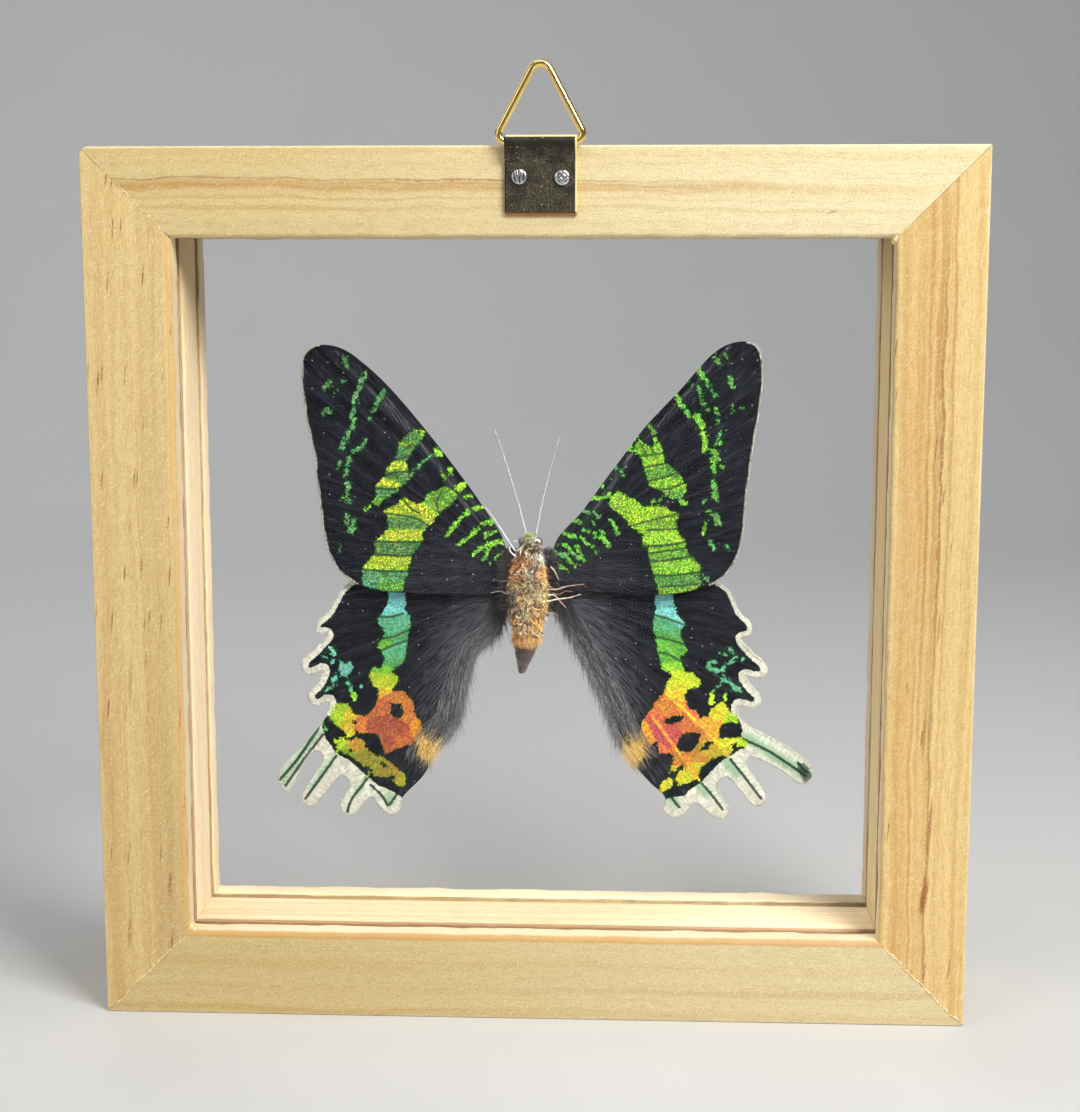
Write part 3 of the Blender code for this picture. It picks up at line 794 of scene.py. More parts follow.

# Each rail's own boards, with bands and flames where that piece of pine has them, and painted light and shade
# along each board.
BOARDS = {
    "top": dict(
        along="X", light=srgb(242, 216, 152), dark=srgb(226, 192, 124), dashes=0.0, streaks=0.3, seed=1.0,
        inward=(-1.0, SIDE, 0.0), painted_light_drift=((-60, (0.86, 0.87, 0.90)), (55, (0.95, 1.07, 1.42))),
        bands=[
            (BAND, 0.7, 0.7, srgb(208, 152, 72), 10, 85), (BAND + 0.95, 0.14, 0.6, BROWN, -10, 50),
            (BAND - 1.9, 0.22, 0.35, TAN, 0, 70), (BAND - 3.4, 0.3, 0.3, TAN, 0, 80),
            (SIDE - 1.5, 0.5, 0.15, TAN, 20, 90),
        ],
        flames=[(50, SIDE - 11, 1.2, 0.3, 0.5)],
    ),
    "bottom": dict(
        along="X", light=srgb(230, 206, 150), dark=srgb(216, 188, 130), dashes=0.0, streaks=0.22, seed=2.0,
        inward=(1.0, 0.0, 0.6), painted_light_drift=((-55, (0.93, 0.92, 0.86)), (60, (1.05, 1.13, 1.32))),
        bands=[(5.0, 0.5, 0.25, RUST, 60, -30), (9.5, 1.2, 0.2, TAN, -60, 60), (1.2, 0.5, 0.3, TAN, -70, 70)],
        flames=[],
    ),
    "left": dict(
        along="Z", light=srgb(234, 206, 148), dark=srgb(212, 176, 114), dashes=0.22, streaks=0.45, seed=3.0,
        inward=(1.0, SIDE / 2, 0.35), painted_light_drift=((20, (1.0, 0.99, 0.92)), (90, (1.05, 1.06, 1.03))),
        bands=[
            (-INNER - 3.6, 2.4, 0.4, srgb(184, 148, 100), 0, 190),
            (-SIDE / 2 + 2.0, 0.8, 0.5, RUST, -60, 150), (-SIDE / 2 + 9.0, 0.5, 0.3, TAN, 0, 120),
        ],
        flames=[(15.0, -71.5, 4.0, 0.5, 0.45), (24.0, -64.0, 3.0, 0.35, 0.7), (60.0, -70.0, 5.0, 0.4, 0.4)],
    ),
    "right": dict(
        along="Z", light=srgb(244, 216, 154), dark=srgb(220, 174, 102), dashes=0.04, streaks=0.5, seed=4.0,
        inward=(-1.0, SIDE / 2, 0.0), painted_light_drift=((25, (1.0, 0.98, 0.94)), (85, (0.88, 0.87, 0.83))),
        bands=[
            (INNER + 3.4, 1.7, 0.45, srgb(214, 154, 82), 0, 190), (INNER + 4.9, 0.25, 0.4, STREAK, 0, 190),
            (INNER + 8.2, 0.28, 0.7, BROWN, 125, 150), (INNER + 7.4, 0.5, 0.6, STREAK, 100, 20),
            (INNER + 9.6, 0.22, 0.5, STREAK, 110, 30), (INNER + 5.9, 0.3, 0.6, STREAK, 90, 30),
            (INNER + 2.0, 0.6, 0.3, TAN, 0, 190), (SIDE / 2 - 1.8, 0.5, 0.3, TAN, 0, 190),
        ],
        flames=[
            (23.5, INNER + 7.6, 5.0, 0.8, 0.9), (36.0, INNER + 8.3, 6.5, 0.4, 0.7),
            (8.5, INNER + 5.6, 2.2, 0.5, 0.5), (52.0, INNER + 6.8, 5.5, 0.35, 0.55),
            (71.0, INNER + 8.8, 4.0, 0.3, 0.5),
        ],
    ),
}
# Painted shade on the spacers: the bottom one darker over its left half, the top one darker all along, and
# the side ones darker toward the top, where the top rail shadows them.
SPACER_PAINTED_SHADE = {
    "bottom": ((0, (0.80, 0.75, 0.71)), (62, (1.0, 0.97, 0.95))),
    "top": ((-60, (0.9, 0.85, 0.8)), (60, (0.9, 0.85, 0.8))),
    "left": ((85, (0.92, 0.89, 0.9)), (150, (0.84, 0.78, 0.64))),
    "right": ((20, (0.9, 0.85, 0.7)), (120, (0.86, 0.77, 0.58))),
}


def spacer_finish(side):
    along = "X" if side in ("top", "bottom") else "Z"
    return sawn_wood(f"pale_{side}", along, srgb(247, 233, 200), srgb(236, 213, 170), 7.0 + len(side),
                     SPACER_PAINTED_SHADE[side])


def build_frame():
    for quarter, side in enumerate(("bottom", "right", "top", "left")):
        points, faces = mitred_bar(rail_profile(), 20 + quarter, 1.0)
        points = rounded_corners(turned(points, quarter))
        pine = wood(f"pine_{side}", **BOARDS[side])
        new_piece(f"{side}_rail_wood", points, faces, pine, stands_for=[f"{side}_rail"], sharp=32)
        points, faces = mitred_bar(spacer_profile(), 40 + quarter, 0.3)
        new_piece(f"{side}_spacer_wood", turned(points, quarter), faces, spacer_finish(side),
                  stands_for=[f"{side}_spacer"], sharp=25)
    pane = glass()
    for node in ("glass_hanger_side", "glass_display_side"):
        obj = frame["nodes"][node]
        obj.data.materials.clear()
        obj.data.materials.append(pane)
        obj.visible_shadow = False


def build_glue_lines(finish):
    """Dried glue and torn fibres along three of the mitres on the hanger side."""
    near = -DEPTH / 2
    for name, sx, sz, low, thick in (
        ("bottom_left", -1, -1, 0.05, 0.17),
        ("bottom_right", 1, -1, 0.02, 0.24),
        ("top_left", -1, 1, 0.18, 0.09),
    ):
        share = np.linspace(low, 0.96, 220)
        inward = share * RAIL
        seed = len(name)
        x = sx * (SIDE / 2 - inward)
        z = SIDE / 2 + sz * (SIDE / 2 - inward)
        off = 0.12 * ripple(inward, 0, seed, 3.0) + 0.08 * ripple(inward, 0, seed + 1, 0.9)
        dip = smooth_step(RAIL - 1.0, RAIL, inward) * 0.6
        path = np.column_stack([x + sx * off, near + dip + 0.02, z - sz * off])
        radii = thick * (0.5 + 0.6 * np.abs(ripple(inward, 0, seed + 2, 0.8)))
        radii *= smooth_step(low, low + 0.08, share) * smooth_step(0.96, 0.9, share)
        points, faces = tube(path, np.maximum(radii, 0.02), 8)
        new_piece(f"glue_line_{name}", points, faces, finish)


def build_fillers(finish):
    """Lumps of glue at two of the inner corners."""
    turn = np.linspace(0, 2 * math.pi, 40, endpoint=False)
    opening = INNER - 0.1
    for name, sx, sz, half in (
        ("bottom_left", -1, -1, (1.2, 1.3, 1.1)),
        ("top_right", 1, 1, (0.8, 1.2, 1.0)),
    ):
        corner = np.array([sx * opening, 1.5 - DEPTH / 2, SIDE / 2 + sz * opening])
        rings = []
        for a in np.radians(np.linspace(-85, 85, 21)):
            ring = np.column_stack([math.cos(a) * np.cos(turn), math.cos(a) * np.sin(turn),
                                    np.full(40, math.sin(a))])
            lump = 1 + 0.13 * ripple(ring[:, 0] + ring[:, 2], ring[:, 1] - ring[:, 2], len(name), 0.9)
            rings.append(corner + ring * np.array(half) * lump[:, None])
        points, faces = skin(rings)
        new_piece(f"filler_{name}", points, faces, finish)


def build_seams():
    f = Finish("dried_glue")
    place = f.place()
    share = f.span(f.noise(place, 1.6, 3.0), 0.35, 0.7)
    f.set(Base_Color=f.mix(share, srgb(255, 240, 190), srgb(232, 194, 124)), Roughness=0.45)
    f.bump(f.noise(place, 4.0, 2.0), 0.08)
    build_glue_lines(f.made)
    build_fillers(f.made)


# ----------------------------------------------------------------------------------------------------
# Hanger
# ----------------------------------------------------------------------------------------------------

PIVOT = np.array(frame["joints"][0]["pos_m"]) / MM
SHEET = 0.38
SHANK = 0.5


def bent_sheet(path, thick):
    """A closed section around a path of (y, z) points."""
    path = np.array(path, float)
    along = unit(np.gradient(path, axis=0))
    across = np.column_stack([-along[:, 1], along[:, 0]]) * thick / 2
    return np.vstack([path + across, (path - across)[::-1]])


def strip_path():
    """(y, z) along the middle of the sheet: up the back, round the wire and down the front."""
    low, high = box_mm("hanger_strip")
    back, radius = high[1] - SHEET / 2, (high[2] - PIVOT[2]) - SHEET / 2
    y, z = PIVOT[1], PIVOT[2]
    front, settle = back - SHEET - 0.02, z - 3.4
    path = [(back, v) for v in np.linspace(low[2], z - 0.3, 22)]
    path += arc((y, z), radius, 0, 205, 25)
    end = path[-1]
    for share in np.linspace(0.08, 1, 14):
        ease = smooth_step(0, 1, share)
        path.append((end[0] + (front - end[0]) * ease, end[1] + (settle - end[1]) * share))
    path += [(front, v) for v in np.linspace(settle - 0.5, low[2] + 0.6, 14)]
    return path


def build_strip(finish):
    """The strip, folded over the wire: the back leaf shows a little below the front one."""
    low, high = box_mm("hanger_strip")
    path = strip_path()
    section = bent_sheet(path, SHEET)
    rings = []
    for x in np.linspace(low[0], high[0], 31):
        rings.append(np.column_stack([np.full(len(section), x), section[:, 0], section[:, 1]]))
    points, faces = skin(rings)
    points[:, 1] += 0.02 * ripple(points[:, 0], points[:, 2], 5, 5.0)
    obj = new_piece("hanger_strip_brass", points, faces, finish, stands_for=["hanger_strip"],
                    sharp=40)
    bevel = obj.modifiers.new("edge", "BEVEL")
    bevel.width = 0.12 * MM
    bevel.segments = 2
    bevel.limit_method = "ANGLE"
    bevel.angle_limit = math.radians(50)
    return path[-1][0] - SHEET / 2


def triangle_path(half, top):
    """(x, z) round the wire's middle: two slanting sides, three bends and the bar in the barrel."""
    centre, _, z = PIVOT
    base_bend, apex_bend = 1.4, 1.75
    lean = math.atan2(top - z, half)
    for _ in range(20):
        corner_half = half - base_bend + base_bend / math.tan(lean / 2)
        apex = top - apex_bend + apex_bend / math.cos(lean)
        lean = math.atan2(apex - z, corner_half)
    tilt = math.degrees(lean)
    path = arc((centre + half - base_bend, z + base_bend), base_bend, -90, 90 - tilt, 15)
    path += arc((centre, top - apex_bend), apex_bend, 90 - tilt, 90 + tilt, 19)
    path += arc((centre - half + base_bend, z + base_bend), base_bend, 90 + tilt, 270, 15)
    out = []
    for a, b in zip(path, path[1:] + path[:1]):
        count = max(2, int(math.dist(a, b) / 0.5))
        out.append(np.linspace(a, b, count, endpoint=False))
    return np.vstack(out)


def build_triangle(finish):
    """The closed wire triangle that turns in the barrel."""
    low, high = box_mm("hanger_triangle")
    wire = (high[1] - low[1]) / 2 / math.cos(math.radians(18)) * 1.05
    path = triangle_path((high[0] - low[0]) / 2 - wire, high[2] - wire)
    along = unit(np.roll(path, -1, axis=0) - np.roll(path, 1, axis=0))
    turns = np.linspace(0, 2 * math.pi, 20, endpoint=False)
    rings = []
    for p, d in zip(path, along):
        flat = p + wire * np.cos(turns)[:, None] * np.array([d[1], -d[0]])
        rings.append(np.column_stack([flat[:, 0], PIVOT[1] + wire * np.sin(turns), flat[:, 1]]))
    points, faces = skin(rings, closed=True)
    new_piece("hanger_triangle_wire", points, faces, finish, body="triangle",
              stands_for=["hanger_triangle"])


def build_nails(finish, seat):
    """Nails whose heads have grooves pressed into the crown: one way on the left, crossed on the right."""
    turns = np.linspace(0, 2 * math.pi, 64, endpoint=False)
    for side, tilt, cross in (("left", 8, 0.0), ("right", 48, 0.85)):
        low, high = box_mm(f"nail_{side}")
        x, z = (low[0] + high[0]) / 2, (low[2] + high[2]) / 2
        radius = (high[0] - low[0]) / 2
        crown = low[1]
        a = math.radians(tilt)
        rings, grooves = [], []
        for r in np.concatenate([np.linspace(0.03, 0.9, 30), [0.95, 0.985, 1.0, 1.0, 0.97]]):
            dx, dz = r * radius * np.cos(turns), r * radius * np.sin(turns)
            u, v = dx * math.cos(a) + dz * math.sin(a), -dx * math.sin(a) + dz * math.cos(a)
            ridge = np.maximum(np.abs(np.sin(u * 4.2)), np.abs(np.sin(v * 4.2)) * cross)
            ridge = smooth_step(0.25, 0.9, ridge) * (1 - smooth_step(0.8, 0.95, r))
            y = crown + 0.06 + 0.16 * r * r - 0.06 * ridge
            rings.append(np.column_stack([x + dx, y, z + dz]))
            # Where the painted shade goes: the grooves between the raised ridges, not near the rim.
            grooves.append((1 - smooth_step(0.1, 0.7, ridge)) * (1 - smooth_step(0.8, 0.9, r)))
        rings[-3][:, 1] = crown + 0.27
        rings[-2][:, 1] = crown + 0.40
        rings[-1][:, 1] = seat + 0.02
        for y, r in ((seat + 0.02, SHANK), (high[1] - 1.5, SHANK), (high[1], 0.08)):
            rings.append(np.column_stack([x + r * np.cos(turns), np.full(64, y), z + r * np.sin(turns)]))
            grooves.append(np.zeros(64))
        points, faces = skin(rings)
        obj = new_piece(f"nail_{side}_steel", points, faces, finish,
                        stands_for=[f"nail_{side}"], sharp=50)
        give_values(obj, groove=np.concatenate(grooves))


def build_hanger():
    plate = plate_metal().made
    wire = metal("wire_brass", srgb(255, 226, 146), 0.17, srgb(232, 188, 104), 0.4, 3.0, 0.004)
    steel = nail_metal().made
    seat = build_strip(plate)
    build_triangle(wire.made)
    build_nails(steel, seat)


# ----------------------------------------------------------------------------------------------------
# Wings. Points are (x, z). Each wing has patches and strokes of colour, with holes in the patches. A stroke
# is (half width, point, point, ...). Zones say what colour the marks have near a line: (its two ends, the
# place in HUES, the brightness where that isn't 1). A bright streak is (place in HUES, point, point, ...).
# ----------------------------------------------------------------------------------------------------

FORE_VEINS = [
    [(-5.4, 82.6), (-16, 97), (-26, 109.3), (-33.5, 116.3)],
    [(-5.4, 82), (-15, 93.5), (-24, 104), (-37.5, 118)],
    [(-5.4, 81.5), (-19.5, 95), (-30, 106), (-40.4, 116)],
    [(-5.4, 81.2), (-19, 93), (-28.5, 102), (-40.9, 111.5)], [(-19, 91), (-29, 98.5), (-40.6, 106)],
    [(-5.4, 80.6), (-18, 88.8), (-29, 95), (-39.6, 101)], [(-18, 88.2), (-28, 91.5), (-38.8, 95.5)],
    [(-5.4, 80.3), (-18, 86.4), (-27, 88.3), (-38.2, 90.8)], [(-17, 84.2), (-28, 83.6), (-37.8, 86.6)],
    [(-5.4, 79.6), (-17, 82.2), (-28, 81.7), (-37, 82.4)],
    [(-5.4, 78.6), (-18, 79), (-29, 78.3), (-35.2, 78.6)], [(-5.4, 77), (-18, 76.4), (-30, 75.6)],
]


def mirrored(lines, middle=-1.0):
    return [[(2 * middle - x, z) for x, z in line] for line in lines]


WINGS = {
    "forewing_left": dict(
        root=(-4.5, 79.5), span=56.0, y=-0.15, camber=-0.55, fringe=((-37.5, 118.3), (-31.5, 75.6)),
        margin=(0.2, 0.2), leading=((-5.2, 84.3), (-35.0, 117.4)),
        patches=[
            [(-15.5, 93.5), (-17, 93), (-18.9, 92.2), (-19.7, 90.8), (-21, 90.3), (-23.2, 91.6),
             (-23.9, 90.7), (-26.8, 88.9), (-26, 88), (-26, 85.8), (-27.6, 84.3), (-28.7, 83.4), (-28.2, 82),
             (-28.9, 81.2), (-30.7, 79.0), (-30.7, 75.8), (-28.9, 75.1), (-26.6, 74.5), (-23.7, 74.7),
             (-23.2, 76.2), (-22.6, 78.5), (-21.8, 81.2), (-20.7, 82.8), (-19.9, 83.7), (-19.9, 85.5),
             (-18.9, 86.4), (-18.2, 86.8), (-17, 88.9), (-15.1, 90.1), (-13.5, 92)],
            [(-21.2, 103.7), (-22.8, 102.2), (-23.9, 101), (-24.5, 98.3), (-26.2, 96.6), (-26.4, 95.3),
             (-28.2, 93.7), (-28, 92), (-28.7, 90.6), (-27.8, 89.9), (-26.6, 91.2), (-24.7, 92.2),
             (-23.7, 93.5), (-22, 94.7), (-22.8, 97.8), (-21.6, 99.7), (-20.5, 101.2), (-19.7, 102.2)],
        ],
        strokes=[
            (0.75, (-13.5, 93.2), (-12.5, 93.7)), (0.55, (-20.2, 103.3), (-19.8, 103.0)),
            (0.34, (-22.0, 95.4), (-20.5, 97.2), (-18.9, 98.4), (-17.8, 99.2)),
            (0.6, (-17.3, 99.8), (-16.8, 99.2)), (0.5, (-15.1, 96.5), (-14.8, 96.1)),
            (0.3, (-16.2, 95.5), (-15.9, 94.8)), (0.4, (-12.4, 91.6), (-11.3, 91.9)),
            (0.36, (-30.2, 89.2), (-29.4, 89.8)), (0.5, (-9.2, 89.9), (-10.6, 89.5)),
            (0.44, (-11.6, 89.0), (-13.4, 87.6), (-14.3, 86.4), (-15.6, 84.8)),
            (0.55, (-7.6, 87.3), (-9.2, 86.9)), (0.44, (-10.0, 86.1), (-11.6, 84.4), (-13.6, 83.2)),
            (0.4, (-6.8, 85.5), (-8.8, 84.7)), (0.52, (-5.7, 83.7), (-7.9, 83.1)),
            (0.38, (-8.5, 83.0), (-9.6, 82.6), (-10.9, 81.4)), (0.4, (-8.1, 82.1), (-9.1, 80.3)),
            (0.38, (-5.8, 81.5), (-6.9, 80.9)), (0.34, (-7, 80.5), (-7.7, 79.9)),
            (0.26, (-5.6, 80.0), (-6.1, 79.7)), (0.5, (-29.7, 113.5), (-30.4, 112.0)),
            (0.5, (-30.8, 111.0), (-31.3, 109.9)), (0.5, (-31.5, 109.4), (-32.0, 108.5)),
            (0.45, (-26.4, 110.3), (-27, 109.7)), (0.5, (-27.5, 108.8), (-28.4, 106.7)),
            (0.26, (-28.8, 106.0), (-29.1, 105.2)), (0.5, (-31.8, 107.1), (-32.2, 106.1)),
            (0.5, (-31.9, 105.3), (-32.2, 103.9)), (0.5, (-32.8, 103.0), (-33.3, 101.9)),
            (0.5, (-33.8, 101.2), (-34.2, 100.3)), (0.42, (-29.9, 101.5), (-30.5, 100.7)),
            (0.4, (-31.0, 100.2), (-32.1, 99.6)), (0.24, (-34.3, 97.9), (-35, 96.5)),
            (0.44, (-32.8, 98.2), (-33.5, 95.4)), (0.55, (-33, 93.9), (-33.2, 92.8)),
            (0.42, (-33.2, 92.4), (-33.3, 91.8)), (0.5, (-33.9, 91.3), (-33, 90.8)),
            (0.42, (-33.4, 88.5), (-33.6, 86.8)), (0.55, (-32.1, 87.4), (-32.5, 85.4)),
            (0.22, (-34.5, 83.0), (-34.8, 81.6)), (0.55, (-33.4, 116.0), (-33.1, 114.5)),
            (0.5, (-36.1, 111.9), (-36.9, 110.9)), (0.24, (-34.2, 111.9), (-33.5, 112.1)),
            (0.24, (-34.9, 110.8), (-35.2, 109.8)), (0.4, (-36.5, 107.0), (-37.3, 106.4)),
            (0.3, (-36.0, 106.7), (-35.8, 106.5)),
        ],
        zones=[
            (-24.0, 77.2, -27.5, 77.3, .24, .9), (-28.5, 77.2, -30.4, 77.0, .18, .8),
            (-24.0, 75.0, -27.5, 75.4, .36, .9), (-28.5, 75.9, -30.2, 76.0, .14, .85),
            (-22.9, 79.8, -30.0, 79.6, .60), (-21.3, 82.4, -28.2, 82.5, .26, .52),
            (-20.6, 84.8, -27.2, 84.7, .61), (-20.6, 86.9, -26.0, 87.0, .27, .62),
            (-22.5, 89.5, -25.8, 89.1, .62), (-18.6, 87.4, -21.4, 90.0, .63, 1.05),
            (-15.4, 91.4, -18.8, 91.6, .40, .8), (-16.8, 90.2, -17.4, 89.6, .5, .85),
            (-12.8, 93.8, -13.8, 93.0, .50), (-19.8, 103.0, -20.4, 103.3, .56),
            (-20.6, 102.6, -23.2, 102.0, .26, .72), (-22.6, 100.9, -23.6, 101.2, .56, .7),
            (-21.4, 99.9, -23.6, 100.1, .26, .7), (-22.6, 98.6, -24.2, 99.4, .25, .65),
            (-23.4, 97.1, -26.0, 96.9, .60), (-22.6, 94.9, -25.6, 95.3, .27, .6),
            (-24.6, 93.9, -28.0, 94.2, .62), (-25.4, 92.4, -28.0, 92.3, .24, .65),
            (-27.4, 90.8, -28.6, 90.8, .45, .9), (-18.2, 98.8, -21.6, 96.4, .26, .8),
            (-16.8, 99.4, -17.4, 99.6, .46), (-14.8, 96.4, -15, 96.2, .46), (-6, 84, -12, 90, .43),
            (-12, 84, -15, 87, .42), (-7, 81, -10, 83, .42), (-5.5, 80, -8, 80.4, .32),
            (-27, 109.8, -28.8, 106, .23, .62), (-30, 113, -32, 107, .22, .62),
            (-33.2, 104, -33.2, 85, .24, .75), (-33.3, 116, -37, 108, .24, .5),
        ],
        lines=[
            [(-18.7, 86.4), (-21.5, 87.9), (-26.8, 88.7)], [(-19.7, 83.6), (-24, 83.5), (-28.8, 83.6)],
            [(-21.6, 81.1), (-24, 81.0), (-28.6, 81.3)], [(-22.0, 78.3), (-26, 78.2), (-31, 78.6)],
            [(-21.5, 96.2), (-24.3, 96.0), (-26.8, 95.3)], [(-22.8, 93.4), (-25, 93.0), (-28.4, 93.1)],
            [(-21.2, 99.4), (-23, 98.6), (-24.8, 98.2)], [(-20.4, 88.6), (-22.2, 89.8), (-23.6, 91.4)],
            [(-21.6, 101.0), (-23.2, 99.8)], [(-16.4, 92.6), (-17.4, 90.6), (-17.2, 89.2)],
        ],
        veins=FORE_VEINS,
        costa=[
            (-9, 86.2), (-14, 93.2), (-18.5, 99.4), (-22.5, 105), (-27, 110.4), (-26.2, 108.2),
            (-22.2, 103.6), (-17.6, 97.4), (-12.8, 90.2),
        ],
    ),
    "forewing_right": dict(
        root=(2.5, 79.5), span=56.0, y=-0.15, camber=-0.55, fringe=((36.8, 119.0), (31.0, 76.0)),
        margin=(0.22, 0.22), leading=((3.6, 84.6), (34.0, 118.2)),
        patches=[
            [(13, 90.4), (14, 92.4), (14.8, 92.9), (16.2, 91.9), (18, 91.2), (19, 90.1), (21.1, 90.3),
             (23, 90.1), (24, 89.2), (25.6, 88.9), (24.9, 87), (25.6, 85.2), (26.7, 84.1), (26.7, 82.9),
             (28, 81.2), (29.4, 79.4), (29.3, 77.6), (29.9, 76.2), (28, 75.1), (24.9, 74.5), (22.2, 74.3),
             (21.6, 76.6), (20.7, 79.3), (20.1, 82.8), (19, 83), (19.2, 85.1), (17.4, 86.2), (16.5, 87.4),
             (14.5, 89.3)],
            [(18.4, 101.9), (17.2, 99.9), (18.6, 99.2), (19, 98.3), (19.5, 96.2), (20.3, 93.9), (22.6, 92.8),
             (24.2, 91.6), (25.7, 91.6), (26.9, 93.2), (26.6, 94.3), (25.3, 96.2), (23, 97.8), (22.6, 99.7),
             (21.8, 101.6), (20.6, 100.6), (19.6, 101.2)],
        ],
        strokes=[
            (0.45, (9.8, 91.6), (12.2, 91.5), (13.4, 92.4)), (0.45, (11.8, 94.1), (12.3, 93.3)),
            (0.5, (19.4, 105.2), (19.6, 105.0)), (0.42, (20.1, 104.4), (20.8, 103.5), (21.4, 101.8)),
            (0.58, (17.3, 102.3), (17.8, 102.5)), (0.6, (16.1, 100.3), (16.9, 100.8)),
            (0.26, (20.8, 91.0), (22.0, 91.4), (23.4, 92.4)), (0.55, (25.9, 91.1), (26.5, 90.6)),
            (0.42, (14.2, 97.4), (14.6, 96.8)), (0.4, (15.1, 96.2), (15.6, 95.8)),
            (0.24, (13.4, 95.1), (13.6, 95.0)), (0.45, (8.4, 89.7), (9.4, 89.0)),
            (0.42, (10.6, 88.8), (11.4, 88.4)), (0.5, (7.1, 87.5), (8.4, 87.3)),
            (0.42, (5.3, 85.1), (7.3, 84.6)), (0.36, (8.8, 85.9), (9.6, 85.5)),
            (0.38, (13.6, 87.4), (14.2, 86.5), (14.7, 85.3)),
            (0.24, (10.2, 87.4), (11.2, 86.2), (12.4, 85.4)), (0.5, (10.5, 85.0), (12, 84.4), (13.2, 83.2)),
            (0.42, (8.2, 84.5), (9.6, 83.3), (11.1, 81.8)), (0.4, (4.4, 83.3), (6.3, 82.5)),
            (0.4, (7.4, 83.2), (7.8, 82.0), (8.6, 80.9)), (0.4, (6.5, 81.7), (9.0, 80.4)),
            (0.44, (3.6, 81.6), (5.7, 81.1)), (0.36, (4.0, 80.0), (5.1, 79.0)),
            (0.36, (6.2, 80.3), (7.2, 79.2)), (0.36, (5.4, 78.9), (5.9, 78.4)),
            (0.5, (24.3, 110.4), (24.7, 110.0)), (0.5, (24.9, 109.2), (25.4, 108.8)),
            (0.52, (25.7, 108.2), (26.2, 107.6)), (0.5, (26.6, 107.0), (27.3, 106.3)),
            (0.75, (28.5, 106.1), (29.4, 104.3)), (0.66, (29.4, 103.1), (29.9, 102.3)),
            (0.55, (29.8, 101.6), (30.1, 101.1)), (0.42, (29.7, 100.3), (29.9, 99.9)),
            (0.7, (28.6, 114.3), (29.4, 113.0)), (0.24, (26.8, 112.3), (27.6, 111.7)),
            (0.42, (28.6, 111.2), (29.1, 109.9), (29.6, 108.2)), (0.3, (30.0, 107.7), (30.4, 107.1)),
            (0.55, (30.0, 111.9), (30.3, 111.5)), (0.38, (30.6, 111.1), (31.8, 109.6)),
            (0.34, (31.8, 107.4), (32.2, 105.0)), (0.36, (32.6, 103.4), (32.3, 102.2)),
            (0.3, (31.8, 101.4), (33.0, 101.3)), (0.6, (31.3, 99.9), (32.0, 99.6)),
            (0.6, (31.4, 98.8), (32.1, 98.4)), (0.55, (31.4, 97.4), (31.7, 96.2)),
            (0.36, (32.9, 97.2), (33.2, 96.8)), (0.55, (31.5, 94.6), (31.8, 92.8)),
            (0.6, (31.8, 92.0), (32.2, 91.7)), (0.44, (30.5, 89.3), (31.2, 89.2)),
            (0.62, (31.9, 88.5), (32.5, 87.3)), (0.24, (30.0, 91.3), (29.9, 90.8)),
            (0.36, (30.1, 87.0), (29.8, 85.2)), (0.42, (31.0, 84.1), (31.8, 82.8)),
            (0.3, (33.8, 83.2), (34.3, 82.7)), (0.36, (30.1, 77.6), (30.6, 77.0)),
            (0.26, (33.2, 116.7), (33.8, 115.6)), (0.34, (31.6, 116.1), (32.2, 115.2)),
            (0.55, (34.2, 112.4), (34.5, 111.1)), (0.36, (34.8, 107.9), (34.8, 106.8)),
            (0.24, (36.2, 107.7), (36.6, 107.4)),
        ],
        zones=[
            (23, 75.0, 28.5, 75.4, .46, .9), (22.6, 76.6, 29.0, 77.0, .32, .8), (22.0, 79.3, 29.0, 79.8, .47),
            (21.2, 81.0, 27.8, 81.9, .40, .8), (20.4, 82.4, 27, 83.2, .46, .9), (20, 85.2, 25.8, 84.8, .51),
            (20.6, 87.2, 25, 88.0, .50, .9), (14, 91.4, 18.5, 90.4, .50), (18, 88.7, 22.8, 89.8, .54),
            (10, 91.8, 13, 92.2, .40), (18.6, 100.8, 21.2, 100.6, .44), (20.0, 98, 22.2, 98.6, .50),
            (20.4, 95.7, 24.6, 96.2, .36, .78), (21.4, 94, 23.4, 94.6, .48), (24.4, 94.2, 26.4, 93.7, .50),
            (24.2, 92.2, 26, 92.0, .34, .75), (20.8, 91, 23.4, 92.2, .4, .7), (26.2, 90.8, 26.4, 90.6, .46),
            (20, 104.6, 21.4, 102.4, .42, .9), (16.4, 100.6, 17.8, 102.4, .42),
            (24.4, 110.4, 27, 106.6, .36, .95), (28.4, 106.4, 29.5, 104, .42),
            (29.7, 103.2, 29.9, 100, .46, .9), (28.8, 114.4, 29.5, 113, .36, .95),
            (28.8, 111, 30.4, 107.3, .3, .85), (30.2, 111.8, 31.8, 109.8, .3, .85),
            (32, 107, 32.4, 102, .32, .9), (31.6, 99.4, 31.8, 96.2, .38, .7),
            (31.8, 94.4, 32.2, 91.8, .32, .8), (32.2, 88.3, 31, 89.2, .30, .8), (30, 86.5, 30, 85.5, .42, .8),
            (31.2, 83.8, 31.8, 82.8, .26, .9), (33, 116, 34.5, 111, .34, .65),
            (34.8, 107.5, 36.4, 107.5, .26, .6), (5, 83, 12, 86, .38), (9, 81, 13, 84, .36),
            (4, 81.4, 5.5, 81.2, .26, .95), (5, 79.6, 6, 78.6, .38), (8.5, 89.4, 11, 88.6, .25, .85),
            (7.3, 87.4, 8.2, 87.2, .30, .95), (14.0, 97, 15.5, 96, .26, .85), (12, 93.8, 12.3, 93.4, .38),
            (30.3, 77.3, 34, 83, .25, .8),
        ],
        lines=[
            [(16.5, 86.5), (20, 87.5), (25.8, 89.0)], [(18.8, 83.0), (23, 83.2), (26.9, 83.9)],
            [(20, 80.3), (24, 80.6), (28, 81.4)], [(20.7, 77.8), (25, 77.9), (29.5, 78.6)],
            [(20.5, 81.8), (26.6, 82.7)], [(20, 94.6), (23, 95.4), (26, 96.4)],
            [(21, 93.1), (24, 93.4), (26.8, 94.6)], [(17.8, 98.9), (22.8, 99.6)],
